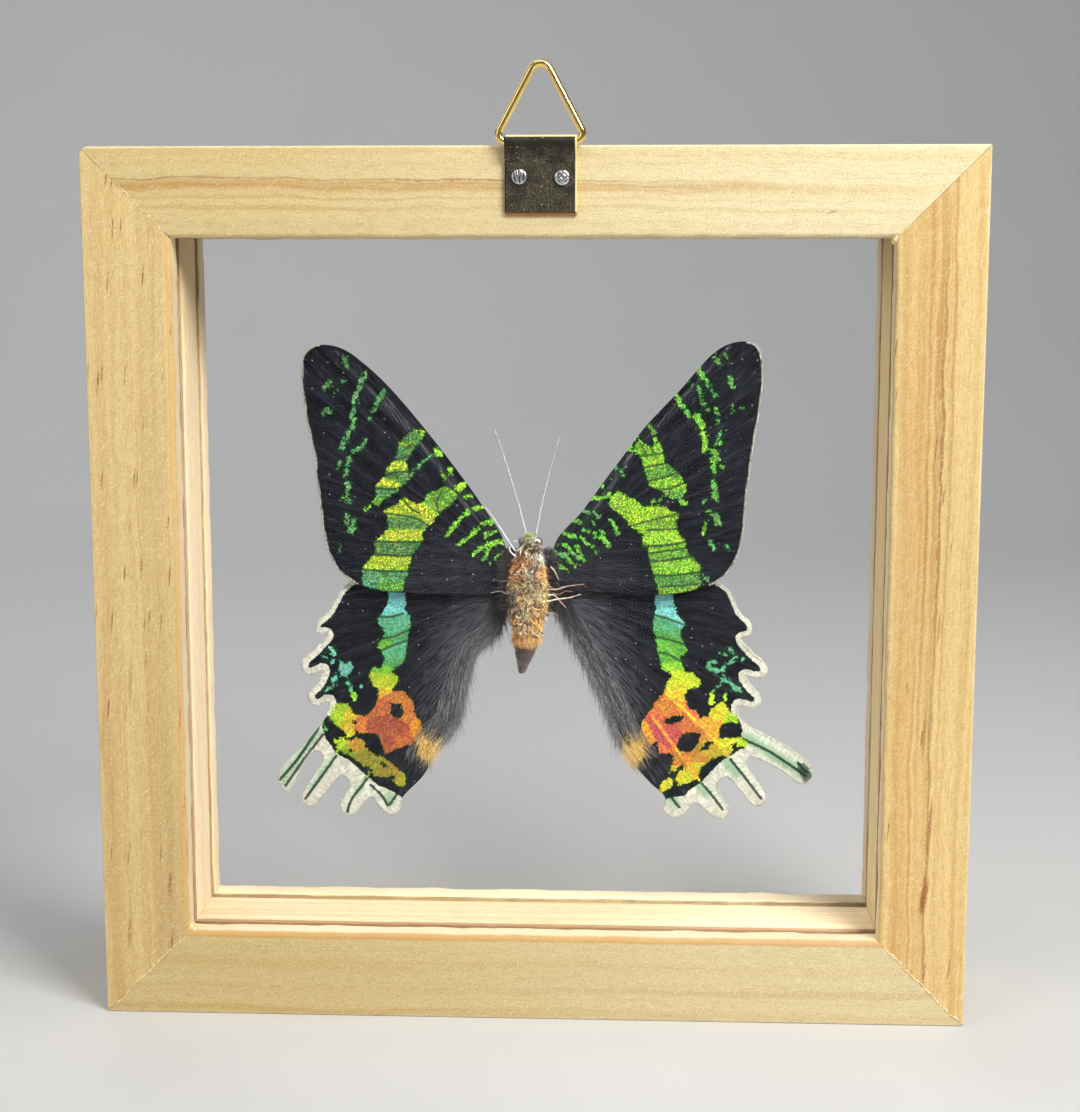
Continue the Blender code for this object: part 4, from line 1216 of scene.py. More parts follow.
            [(19.2, 97.0), (23.4, 97.8)], [(20, 85.9), (25.6, 86.2)], [(18.6, 101.4), (19.6, 99.4)],
            [(20.2, 101.0), (21.0, 99.6)], [(22.4, 75.8), (29.0, 76.3)],
        ],
        veins=mirrored(FORE_VEINS), costa=[(9, 87.4), (14, 95.2), (17.6, 100.4), (16.9, 98.4), (12.6, 91.6)],
    ),
    "hindwing_left": dict(
        root=(-4.5, 74.0), span=50.0, y=0.85, camber=0.35, fringe=((-31.4, 77.0), (-24.2, 36.1)),
        margin=(0.75, 1.2), scallops=((-31.4, 77.0), (-37.9, 51.4)),
        patches=[
            [(-26.6, 75), (-26.3, 73), (-26.6, 71.5), (-27.6, 70.3), (-28.3, 69.5), (-28.1, 68.4),
             (-27.4, 67.4), (-27.1, 66.2), (-27.8, 65.4), (-28.4, 64.2), (-27.2, 62.4), (-27.2, 61.2),
             (-28, 60.2), (-29.3, 60.3), (-30.1, 58.6), (-29.2, 56.8), (-28.4, 56.3), (-28.5, 54.6),
             (-29, 53.2), (-30.2, 51.5), (-31.3, 51.2), (-32.9, 51.6), (-34.1, 53.6), (-35.6, 53.7),
             (-36.8, 53.2), (-37.3, 50.9), (-35.9, 49.4), (-34.9, 48.8), (-34.0, 47.2), (-32, 48.2),
             (-30.5, 48.1), (-29, 48), (-28.2, 47.2), (-27.3, 44.2), (-26.3, 44.7), (-24, 45.9), (-22, 46.1),
             (-20.2, 47.1), (-20.6, 50), (-21.9, 52), (-22.3, 54.4), (-24, 55.9), (-25.9, 56.1),
             (-24.6, 58.3), (-26.2, 59.7), (-24.3, 60.9), (-23.6, 61.6), (-23.2, 64.8), (-22.9, 66.8),
             (-22.3, 68.6), (-22.5, 69.9), (-23.5, 70.8), (-23.3, 72.3), (-23.3, 75)],
            [(-35.9, 47.2), (-33.5, 46.6), (-32.4, 47.2), (-31.3, 46.8), (-30.9, 45.4), (-28.3, 43.9),
             (-26.9, 43.2), (-25, 41.3), (-23.5, 40.2), (-23.7, 38.6), (-24.6, 38.1), (-26.4, 39.8),
             (-29.3, 40.2), (-30.1, 41.1), (-32.5, 43.1), (-34.6, 44.3), (-36.2, 45.3)],
            [(-35.4, 61.5), (-34.4, 60.8), (-33.4, 61.4), (-33.0, 60.2), (-34, 58.3), (-34.8, 58.8),
             (-35.5, 59.9)],
        ],
        strokes=[
            (0.55, (-37.0, 63.6), (-36.3, 62.8)), (0.3, (-38.4, 62.4), (-37.6, 61.9)),
            (0.3, (-36.8, 61.2), (-36.5, 61.6)), (0.5, (-36.0, 58.6), (-36.6, 57.4)),
            (0.3, (-37.0, 56.6), (-38.2, 56.2)), (0.42, (-34.0, 57.6), (-33.3, 55.9)),
            (0.5, (-33.0, 55.4), (-32.7, 54.6)), (0.26, (-31.6, 56.9), (-31.2, 57.2)),
            (0.5, (-36.2, 46.6), (-35.0, 46.9)), (0.34, (-38.6, 49.7), (-38.0, 48.6)),
        ],
        holes=[
            [(-26.3, 53.8), (-24.3, 53.7), (-23.8, 52.4), (-24.2, 50.9), (-25.3, 51.0), (-26.2, 51.9)],
            [(-31.3, 47.6), (-29.8, 48.2), (-28.4, 47.9), (-27.9, 45.6), (-27.5, 43.9), (-28.6, 43.7),
             (-30, 44.6), (-30.9, 45.8)],
            [(-33.2, 50.7), (-32.4, 50.5), (-32.4, 49.8), (-33.1, 49.8)],
            [(-32.7, 48.8), (-32.2, 48.8), (-32.0, 47.5), (-32.7, 47.5)],
            [(-36.6, 53.2), (-35.8, 53.0), (-35.9, 52.4), (-36.6, 52.4)],
            [(-34.4, 45.6), (-33.6, 45.4), (-32.9, 44.6), (-33.6, 44.4)],
            [(-31.4, 42.0), (-30.2, 41.9), (-29.2, 40.9), (-30.3, 40.8)],
            [(-28.6, 43.0), (-27.4, 42.6), (-27.0, 41.6), (-28.0, 42.2)],
            [(-27.0, 40.3), (-25.8, 40.4), (-25.4, 39.5), (-26.4, 39.5)],
            [(-38.6, 50.2), (-38.0, 50.0), (-38.2, 49.4), (-38.8, 49.6)],
        ],
        zones=[
            (-23.6, 73.6, -26.4, 73, .01), (-23.6, 71.6, -26.8, 70.8, .02),
            (-22.8, 69.2, -28, 69.2, .14, .85), (-23, 67.4, -27, 67.2, .18, .8),
            (-24, 66.3, -27.4, 65.9, .24, .8), (-26.4, 64.8, -28, 64.9, .42, .9),
            (-23.6, 64.8, -25.6, 64.2, .18, .85), (-23, 62.6, -26.8, 62.6, .19, .9),
            (-24.2, 61.2, -27, 61, .26, .85), (-26.2, 59.8, -29, 60, .44, .9),
            (-25.6, 58.4, -29.6, 58.6, .60, .78), (-26.6, 57, -29.2, 57, .64, .78),
            (-27, 55.8, -28.2, 55.8, .76, .9), (-23.2, 55.2, -26.6, 54.9, .84, .68),
            (-27.4, 53.6, -30.5, 51.8, .88, .62), (-22.8, 53.6, -23.2, 51, .85, .68),
            (-24.5, 49.5, -29.5, 49.8, .92, .42), (-26.8, 47.5, -26.4, 45.6, .91, .46),
            (-21.2, 50, -21.2, 47.6, .80, .8), (-22.6, 47, -24.6, 46.6, .87, .62),
            (-31.4, 50.6, -32.4, 49, .84, .8), (-33.4, 51.6, -34, 47.6, .72, .85),
            (-34.8, 53.2, -36.8, 51.2, .56, .8), (-36.2, 47, -35.2, 45.6, .58, .75),
            (-31.6, 46.6, -32.6, 45.4, .78, .62), (-35.0, 44.8, -33.4, 43.8, .58, .42),
            (-31.8, 43.8, -29.4, 41.8, .70, .34), (-28.4, 42.6, -25.4, 40.4, .72, .36),
            (-24.4, 39.8, -24.6, 38.6, .68, .5), (-36.6, 63.6, -34, 59.5, .1, .85),
            (-36.8, 58, -37.2, 56.8, .1, .85), (-33.8, 57.6, -33.3, 56, .2, .85),
            (-32.9, 55.2, -32.6, 54.6, .5, .85), (-38.5, 49.8, -37.9, 48.6, .26, .85),
            (-31.5, 57.0, -31.2, 57.2, .05, .8),
        ],
        lines=[
            [(-22.9, 67.2), (-25.5, 66), (-28, 65.6)], [(-23.2, 65.3), (-26, 64.2), (-27.8, 63.4)],
            [(-23.6, 70.3), (-26.2, 69.6), (-28.2, 69.7)], [(-36.2, 43.9), (-38.6, 40.5), (-42.0, 35.8)],
            [(-30.6, 39.7), (-33.6, 35.6), (-34.3, 33.4)], [(-39.3, 49.2), (-43.0, 43.6), (-46.7, 39.2)],
            [(-38.6, 47.8), (-42.4, 42.8), (-45.6, 38.2)], [(-30.0, 38.5), (-27.8, 36.3), (-27, 34.7)],
            [(-25.2, 36.8), (-26.6, 34.8)],
        ],
        bright=[
            (.60, (-33.4, 48.4), (-35.2, 46.0), (-36.4, 44.2)),
            (.62, (-28.2, 43.2), (-29.6, 41.4), (-31.0, 39.8)),
        ],
        veins=[
            [(-5.4, 76), (-20, 76.5), (-35, 73.5)], [(-5.4, 75.5), (-20, 74), (-33, 71.3), (-38.9, 68.2)],
            [(-18, 72), (-28, 69), (-37, 66.6)], [(-5.4, 74.5), (-18, 70), (-30, 64.5), (-41.8, 60.2)],
            [(-16, 68.5), (-27, 61.5), (-38, 55.8), (-40.8, 54.3)],
            [(-5.4, 73.5), (-15, 66.5), (-25, 57), (-34, 50.5), (-38.8, 49.8), (-45.5, 39)],
            [(-13.5, 65.5), (-22, 55.5), (-30, 46.5), (-36, 43.6), (-41.5, 36)],
            [(-5.4, 72.5), (-12, 63.5), (-19, 52.5), (-26, 43.5), (-30.5, 39.5), (-33.8, 34)],
            [(-5.4, 71.5), (-11.5, 60), (-16, 50), (-22, 41), (-26.3, 35)],
        ],
        cream=[
            (-40.5, 51.5), (-38.9, 50.3), (-38.5, 48.4), (-38.2, 47), (-37.3, 46), (-36.6, 44.7),
            (-35.2, 43.7), (-33.8, 43), (-32.2, 41.5), (-30.8, 40.3), (-29.8, 39.4), (-28.8, 38.5),
            (-27.4, 37.9), (-25.8, 37.2), (-24.6, 36.4), (-22.5, 34.6), (-24, 30), (-50, 30), (-50, 52),
        ],
        green=[
            (0.55, (-39.6, 48.4), (-46.0, 39.4)), (0.7, (-26.6, 36.6), (-26.4, 35.4)),
            (0.35, (-36.6, 43.6), (-40.6, 38.2)), (0.3, (-31, 39.4), (-33, 36.6)),
        ],
        inner=[
            (-5, 74), (-6.5, 67.2), (-10.5, 63.2), (-12.5, 57), (-14.2, 50.2), (-17.6, 45.6), (-20.3, 40.4),
            (-24.2, 36.1),
        ],
        tuft=(-19.8, 45.2),
    ),
    "hindwing_right": dict(
        root=(2.5, 74.0), span=50.0, y=0.85, camber=0.35, fringe=((30.6, 77.2), (23.6, 36.8)),
        margin=(0.55, 1.15), scallops=((30.6, 77.2), (36.7, 51.8)),
        patches=[
            [(21.7, 75), (21.5, 73), (21.7, 71.5), (21.2, 69), (21.1, 67.8), (21.7, 66.4), (22, 63.6),
             (22.8, 61), (23, 60.2), (24.2, 60.2), (24.6, 59.3), (23.5, 57.4), (23.6, 56.6), (21.6, 54.3),
             (20.1, 51.8), (19.3, 50.6), (18.9, 48), (20.3, 45.6), (21.2, 46.6), (22.4, 47.4), (22.2, 46),
             (22.6, 45.1), (24.4, 45.1), (25.2, 44.6), (24.3, 41.4), (25.4, 41.9), (26.4, 42.9), (27.3, 42.5),
             (25.4, 40.8), (25.9, 39.2), (27.4, 39.3), (29.4, 40.6), (30, 42.4), (31.3, 43.6), (33.6, 44.8),
             (34.8, 44.4), (36.1, 46.3), (38.1, 46.5), (38.4, 47.5), (37.3, 48.2), (35.3, 47.9), (33.1, 47.9),
             (33.4, 50.2), (34.6, 50.9), (36.5, 50.9), (36.6, 51.9), (35.3, 52.6), (33.7, 54.7), (31.6, 53),
             (31.3, 52), (29.6, 51.5), (29, 53.1), (27.8, 53.1), (26.8, 55.6), (27.5, 56.9), (29.5, 57.4),
             (29.7, 58.5), (28.4, 59.8), (27, 59.9), (25.9, 62.6), (26.9, 63.2), (27.2, 64.1), (26.1, 66.4),
             (26.1, 67.6), (26.9, 68.7), (25.6, 70.2), (24.8, 72.4), (24.7, 75)],
            [(22.4, 38.3), (23.2, 37.7), (24.6, 38.8), (25, 39.9), (24.4, 40.7), (22.9, 39.6)],
        ],
        strokes=[
            (0.5, (31.1, 61.0), (31.4, 62.0), (32.1, 62.0)),
            (0.38, (31.7, 60.4), (33.3, 60.3), (34.5, 61.3), (35.8, 62.8)),
            (0.38, (35.2, 64.3), (35.5, 63.4)), (0.3, (33.7, 60), (33.6, 58.6), (32.8, 57.2), (31.9, 56.4)),
            (0.46, (31.9, 55.9), (31.7, 54.6)), (0.55, (34.2, 58.8), (35.5, 57.8), (36.6, 56.8)),
            (0.34, (34.2, 56), (34.2, 54.8)), (0.24, (37.2, 62.6), (37.5, 62.4)),
            (0.22, (24.8, 57.8), (26.2, 56.4)), (0.26, (33.0, 63.4), (34.2, 63.2)),
        ],
        holes=[
            [(23.2, 50.4), (24.4, 50.2), (26.4, 51), (26.9, 51.9), (25.4, 52), (23.6, 51.3)],
            [(25.5, 46.1), (26, 47.6), (27.1, 48.8), (28.6, 49.0), (30, 48.7), (29.6, 47.2), (28.8, 45.8),
             (27.4, 45.2), (26.2, 45.5)],
            [(29.7, 45.3), (30.3, 46.6), (31.4, 47.6), (32.2, 47.3), (31.4, 46.2), (30.4, 45.5)],
            [(35.3, 46.6), (36.2, 47.2), (36.6, 46.4), (35.8, 45.7)],
        ],
        zones=[
            (22, 73.6, 24.6, 73.4, .01), (22, 71.4, 24.8, 71.4, .02), (25, 70.4, 26.4, 69.3, .04),
            (21.4, 69, 24.4, 68.2, .20, .85), (21.8, 67, 26, 67.0, .27, .85),
            (22.2, 65.6, 26.4, 65.4, .36, .85), (23.6, 64.4, 26.8, 63.9, .36, .85),
            (22.4, 62.8, 24.6, 62.4, .36, .85), (24, 61.2, 26.2, 61.0, .48), (24.6, 59.6, 26, 59.4, .60),
            (26.6, 59.4, 28.8, 58.2, .60), (24.2, 57.8, 26.6, 57.4, .66), (25, 56, 26.6, 55.6, .73),
            (23.2, 55.6, 23.8, 55, .82, .85), (21, 53.4, 23.6, 53.6, .85, .8),
            (25, 54.4, 26.6, 53.4, .84, .9), (27.4, 53.4, 28.8, 52, .92), (19.4, 49.6, 20.2, 47.2, .80),
            (21.2, 51.6, 22.4, 50, .93, .9), (22.2, 49.6, 24, 47, 1.0, .85), (24.6, 49.2, 25, 47.6, .97, .8),
            (22, 46.2, 23.6, 45.6, .92), (27.5, 50.3, 30, 49.8, .86, .75), (30.4, 51.6, 31.6, 50.2, .79, .95),
            (31.6, 53, 33.4, 52.6, .70), (33.4, 54.2, 34, 53.4, .68), (35.8, 52, 36.2, 51.4, .56, .9),
            (31.8, 49, 33, 48.4, .77, .85), (24.8, 45, 27.6, 44.2, .84, .72),
            (28.4, 44.9, 30.4, 44.2, .80, .6), (30.6, 45, 33, 46.6, .72, .72), (33.4, 47.2, 35.2, 47.4, .66),
            (36, 47, 38, 47, .60), (32.6, 44.6, 34.4, 45.2, .68, .65), (28.6, 41.4, 30.4, 43, .70, .72),
            (25, 40.6, 28.4, 40.8, .68, .95), (22.8, 38.6, 24.4, 39.6, .68, .95),
            (31.2, 61.5, 35.5, 63.5, .17, .72), (33.6, 59.6, 36.5, 57, .16, .72),
            (33, 58, 32.2, 56.8, .2, .85), (31.8, 55.8, 31.8, 54.8, .58), (34.2, 56, 34.2, 55, .5),
        ],
        lines=[
            [(21.5, 66.4), (24, 65.9), (27.2, 64.9)], [(21.8, 63.6), (24, 63.2), (26.4, 61.8)],
            [(21.4, 70.4), (24.2, 69.6), (26.8, 68.6)], [(37.6, 47.8), (42, 45.8), (46, 43.2), (48.8, 41.2)],
            [(47.4, 43.6), (48.6, 42.2), (49.2, 41.9)], [(35.2, 44.2), (38, 40.7), (40.9, 36.9)],
            [(30.2, 39.5), (32.2, 37.2), (34, 34.8)], [(24.6, 37.2), (25.2, 36.2), (26.2, 35)],
        ],
        bright=[(.74, (23.3, 56.4), (29.5, 50.6), (35, 44.8)), (.78, (21.3, 51.6), (25.5, 45.8), (29.8, 40))],
        veins=[
            [(3.4, 76), (18, 76.5), (33, 74)], [(3.4, 75.5), (18, 74), (31, 71.3), (38.3, 68.2)],
            [(16, 72), (26, 69), (36, 66.6)], [(3.4, 74.5), (16, 70), (28, 65.5), (41, 60.2)],
            [(14, 68.5), (25, 62.5), (36, 56.2), (40.3, 54.6)],
            [(3.4, 73.5), (15, 66), (24, 60), (33, 53), (37.5, 49.3), (49, 41.5)],
            [(3.4, 73), (13, 65), (23.5, 56), (35, 44.5), (40.9, 36.8)],
            [(3.4, 72.5), (11, 62.5), (21, 51.5), (29.8, 39.8), (33.8, 34.2)],
            [(3.4, 71.5), (10, 60), (16, 49), (20.5, 41.5), (25, 35)],
        ],
        cream=[
            (36.6, 52.4), (36.9, 50.9), (37.4, 49.6), (37.2, 48.5), (38.3, 47.6), (37.9, 46.1), (37, 45.9),
            (36.2, 45.3), (35.2, 44.7), (34.3, 44.1), (33.3, 43.3), (32.3, 42.2), (31.2, 41), (30.3, 39.9),
            (29.2, 39.1), (28.1, 38.3), (27.2, 37.2), (25.2, 36.9), (24, 36.6), (22, 35.2), (23.4, 30),
            (54, 30), (54, 52),
        ],
        green=[
            (0.9, (38.6, 48.0), (48.6, 41.6)), (0.8, (34.6, 43.6), (36.4, 41.6)),
            (0.8, (29.8, 39.2), (30.8, 38)), (0.8, (24.8, 36.6), (25.4, 35.8)),
        ],
        dusk=[(0.9, (48.2, 42.6), (49.4, 40.6))],
        inner=[
            (3, 74), (4.6, 70), (6.6, 66), (9.4, 60.6), (12.8, 53.4), (14.8, 48), (17.8, 43), (20.9, 39.5),
            (23.6, 36.8),
        ],
        tuft=(18.3, 45.2),
    ),
}
GRID = 0.29
HUE_SOFT = 0.22
BLADE = 0.10


def plate_outline(node):
    """The (x, z) outline of a CAD wing, in order round its hanger-side face."""
    mesh = frame["nodes"][node].data
    keys = {}
    place = []
    for v in mesh.vertices:
        key = (round(v.co.x / MM, 3), round(v.co.z / MM, 3))
        place.append(keys.setdefault(key, len(keys)))
    counts = {}
    for poly in mesh.polygons:
        if poly.normal.y < -0.9:
            loop = [place[i] for i in poly.vertices]
            for a, b in zip(loop, loop[1:] + loop[:1]):
                edge = (min(a, b), max(a, b))
                counts[edge] = counts.get(edge, 0) + 1
    step = {}
    for a, b in (edge for edge, count in counts.items() if count == 1):
        step.setdefault(a, []).append(b)
        step.setdefault(b, []).append(a)
    points = list(keys)
    order = [next(iter(step))]
    last = None
    while len(order) < len(step):
        here = order[-1]
        ahead = [n for n in step[here] if n != last]
        last = here
        order.append(ahead[0])
    return np.array([points[i] for i in order])


def wing_net(outline):
    """Points and triangles that fill an outline."""
    low, high = outline.min(0), outline.max(0)
    columns = np.arange(low[0], high[0], GRID)
    rows = np.arange(low[1], high[1], GRID * math.sqrt(3) / 2)
    grid = np.array([(x + (i % 2) * GRID / 2, z) for i, z in enumerate(rows) for x in columns])
    grid = grid[inside(grid, outline)]
    gap, _ = outline_distance(grid, outline)
    grid = grid[gap > GRID * 0.55]
    points = [Vector(p) for p in np.vstack([outline, grid])]
    places, _, triangles, *_ = delaunay_2d_cdt(points, [], [list(range(len(outline)))], 1, 1e-6)
    return np.array([tuple(p) for p in places]), triangles


def blended(points, zones, soft):
    """Hue and glow at each point, from the nearest zones. soft is how wide the change between two is."""
    ends = [np.array(zone[:4], float).reshape(2, 2) for zone in zones]
    gaps = np.array([segment_distance(points, a, b)[0] for a, b in ends]).T
    hues = np.array([zone[4] for zone in zones])
    glows = np.array([zone[5] if len(zone) > 5 else 1.0 for zone in zones])
    gaps -= gaps.min(axis=1, keepdims=True)
    weight = np.exp(-(gaps / soft) ** 2)
    weight /= weight.sum(axis=1, keepdims=True)
    return weight @ hues, weight @ glows


def arc_span(outline, ends, root):
    """A test for arc lengths on the margin between two places, the way that doesn't pass the root."""
    steps = np.linalg.norm(np.roll(outline, -1, axis=0) - outline, axis=1)
    run = np.concatenate([[0], np.cumsum(steps)[:-1]])
    total = steps.sum()
    start, a, b = (run[np.argmin(np.linalg.norm(outline - np.array(spot), axis=1))] for spot in (root, *ends))
    low, high = sorted(((a - start) % total, (b - start) % total))
    return lambda s: ((s - start) % total >= low) & ((s - start) % total <= high)


def wing_depth(points, spec, vein):
    """How far the wing's sheet stands from its flat: a gentle bow, folds between the veins, raised veins."""
    root = np.array(spec["root"])
    reach = np.linalg.norm(points - root, axis=1)
    bow = spec["camber"] * np.sin(np.clip(reach / spec["span"], 0, 1) * math.pi)
    fold = 0.16 * smooth_step(0.1, 1.5, vein) * smooth_step(2, 12, reach)
    ridge = -0.04 * np.exp(-(vein / 0.22) ** 2) * smooth_step(1, 6, reach)
    rough = 0.07 * ripple(points[:, 0], points[:, 1], 3, 7.0)
    return spec["y"] + bow + fold + ridge + rough


def nearest(points, lines, step):
    """Distance from the nearest of some smooth lines."""
    return np.min([line_distance(points, open_curve(line, step)) for line in lines], axis=0)


def nearest_stroke(points, strokes):
    """Distance outside the nearest of some strokes, and 9 where there are none."""
    gaps = [np.full(len(points), 9.0)]
    return np.min(gaps + [line_distance(points, s[1:], s[0]) for s in strokes], axis=0)


def wing_marks(points, spec):
    """Distance outside the coloured bands, how broken their edges are, hue, glow and extra brightness."""
    mark = np.min([polygon_distance(points, p) for p in spec["patches"]], axis=0)
    for hole in spec.get("holes", []):
        mark = np.maximum(mark, -polygon_distance(points, hole))
    stroke = nearest_stroke(points, spec["strokes"])
    loose = smooth_step(0.3, -0.3, stroke - mark)
    mark = np.minimum(mark, stroke)
    vivid = 1 + 0.3 * loose
    sway = [ripple(points[:, 0], points[:, 1], seed, 1.1) for seed in (51, 52)]
    hue, glow = blended(points + 0.16 * np.column_stack(sway), spec["zones"], HUE_SOFT)
    for tone, *streak in spec.get("bright", []):
        gap = line_distance(points, streak)
        lit = np.exp(-(gap / 0.28) ** 2)
        hue, vivid = hue * (1 - lit) + tone * lit, vivid + 0.4 * lit
        mark = np.minimum(mark, gap - 0.12)
    return mark, loose, hue, glow, vivid


def margin_distance(points, spec, outline, edge, rim):
    """Distance outside the pale margin, which is wider low down on the hindwings."""
    edged = arc_span(outline, spec.get("scallops", spec["fringe"]), spec["root"])
    high, low = spec["margin"]
    width = low + (high - low) * smooth_step(58, 76, points[:, 1])
    cream = np.where(edged(rim), edge - width, 9.0)
    if "cream" in spec:
        cream = np.minimum(cream, polygon_distance(points, spec["cream"]))
    return cream


def hindwing_haze(points, spec, mark):
    """How grey the ground is toward the inner margin."""
    gap = line_distance(points, open_curve(spec["inner"], 1.0))
    pale = 0.05 + 0.36 * smooth_step(12, 1, gap) * smooth_step(30, 56, points[:, 1])
    return pale * smooth_step(-2, 3, mark + 1) * (0.35 + 0.65 * smooth_step(26, 12, np.abs(points[:, 0] + 1)))


def forewing_haze(points, spec):
    """How grey the ground is along the leading edge and near the root."""
    root = spec["root"]
    costa = polygon_distance(points, spec["costa"])
    leading = line_distance(points, spec["leading"])
    pale = 0.02 + 0.07 * smooth_step(9, 2, line_distance(points, [root, (root[0] * 5, 76.5)]))
    pale += 0.24 * smooth_step(0.15, -0.15, costa) + 0.2 * np.exp(-(costa / 0.14) ** 2)
    return pale + 0.25 * np.exp(-(leading / 0.25) ** 2)


def thin_solid(points, triangles, depth, thick):
    """A closed sheet with two faces, thick apart, and walls round its rim."""
    front = np.column_stack([points[:, 0], depth - thick / 2, points[:, 1]])
    back = np.column_stack([points[:, 0], depth + thick / 2, points[:, 1]])
    count = len(points)
    faces = []
    for tri in triangles:
        a, b, c = (points[i] for i in tri)
        turn = (b[0] - a[0]) * (c[1] - a[1]) - (b[1] - a[1]) * (c[0] - a[0])
        faces.append(tuple(tri) if turn > 0 else tuple(reversed(tri)))
    edges = dict.fromkeys((tri[i], tri[(i + 1) % 3]) for tri in faces for i in range(3))
    walls = [(b, a, a + count, b + count) for a, b in edges if (b, a) not in edges]
    backs = [tuple(i + count for i in reversed(tri)) for tri in faces]
    return np.vstack([front, back]), faces + backs + walls


def build_wing(node, finish):
    spec = WINGS[node]
    outline = closed_curve(plate_outline(node), 0.3)
    points, triangles = wing_net(outline)
    edge, rim = outline_distance(points, outline)
    vein = nearest(points, spec["veins"], 2.0)
    away = points - np.array(spec["root"])
    reach = np.linalg.norm(away, axis=1)
    spoke = np.degrees(np.arctan2(away[:, 1], np.abs(away[:, 0]))) * 0.55
    mark, loose, hue, glow, vivid = wing_marks(points, spec)
    if "tuft" in spec:
        pale = hindwing_haze(points, spec, mark)
        tuft = np.linalg.norm((points - np.array(spec["tuft"])) / (2.0, 2.6), axis=1)
        near_tuft = smooth_step(1.1, 0.4, tuft)
        hue = hue * (1 - near_tuft) + 0.74 * near_tuft
        glow = glow + 0.1 * near_tuft
        mark = np.minimum(mark, (tuft - 0.75) * 2)
    else:
        pale = forewing_haze(points, spec)
    both = dict(
        edge=edge, rim=rim, spoke=spoke, reach=reach, vein=vein, mark=mark, loose=loose, glow=glow * vivid,
        pale=pale, cream=margin_distance(points, spec, outline, edge, rim),
        line=nearest(points, spec["lines"], 1.0), green=nearest_stroke(points, spec.get("green", [])),
        dusk=nearest_stroke(points, spec.get("dusk", [])),
    )
    solid, faces = thin_solid(points, triangles, wing_depth(points, spec, vein), BLADE)
    obj = new_piece(f"{node}_scales", solid, faces, finish, stands_for=[node])
    give_values(obj, hue=np.concatenate([hue, hue - 0.06]))
    give_values(obj, **{name: np.tile(values, 2) for name, values in both.items()})
    return outline, spec


def lengths(line):
    """How far along the line each of its points is."""
    return np.concatenate([[0], np.cumsum(np.linalg.norm(np.diff(line, axis=0), axis=1))])


def along_line(line, s, look):
    """The places at lengths s, and the directions toward the places that are look further on."""
    run = lengths(line)
    place, ahead = (np.column_stack([np.interp(t, run, line[:, k]) for k in (0, 1)]) for t in (s, s + look))
    return place, unit(ahead - place, 1e-9)


def build_fringe(node, outline, spec, finish):
    """Short pointed scales that stand out unevenly from the wing's outer margin."""
    hind = node.startswith("hindwing")
    rng = np.random.default_rng(sum(map(ord, node)))
    covers = arc_span(outline, spec["fringe"], spec["root"])
    loop = np.vstack([outline, outline[:1]])
    s = np.arange(0, lengths(loop)[-1], 0.075)
    s = s[covers(s)] + rng.uniform(-0.04, 0.04, covers(s).sum())
    place, along = along_line(loop, s, 0.2)
    area = np.sum(outline[:, 0] * np.roll(outline[:, 1], -1) - np.roll(outline[:, 0], -1) * outline[:, 1])
    out = np.column_stack([along[:, 1], -along[:, 0]]) * np.sign(area)
    tufts = ripple(s, 0 * s, 5, 1.1)
    lean = 0.35 * tufts + rng.uniform(-0.25, 0.25, len(s))
    out = out + along * lean[:, None]
    tall = (0.30 if hind else 0.13) * rng.uniform(0.3, 1.1, len(s)) * (1.0 + 0.6 * tufts)
    tall *= 1 - 0.55 * smooth_step(50, 46, place[:, 1])
    tall = np.maximum(tall, 0.04)
    base = place - out * 0.35
    tip = place + out * tall[:, None]
    depth = wing_depth(place, spec, np.full(len(place), 1.0))
    lift = rng.uniform(-0.06, 0.06, len(s))
    levels = []
    for share in (0.0, 0.55, 1.0):
        flat = base + (tip - base) * share
        levels.append(np.column_stack([flat[:, 0], depth + lift * (0.5 + share), flat[:, 1]]))
    radii = rng.uniform(0.7, 1.2, len(s))[:, None] * np.array([0.05, 0.045, 0.008])
    points, faces = hairs(np.stack(levels, axis=1), radii)
    obj = new_piece(f"{node}_fringe", points, faces, finish)
    if hind:
        pale, dull, shift = srgb(222, 221, 206), srgb(164, 163, 146), 0.0
    else:
        pale, dull, shift = srgb(196, 186, 174), srgb(78, 72, 72), 0.35
    share = np.clip(rng.uniform(-0.2, 1.0, len(s)) + shift * tufts, 0, 1)[:, None]
    give_tint(obj, np.repeat(np.array(pale) * (1 - share) + np.array(dull) * share, 9, axis=0))


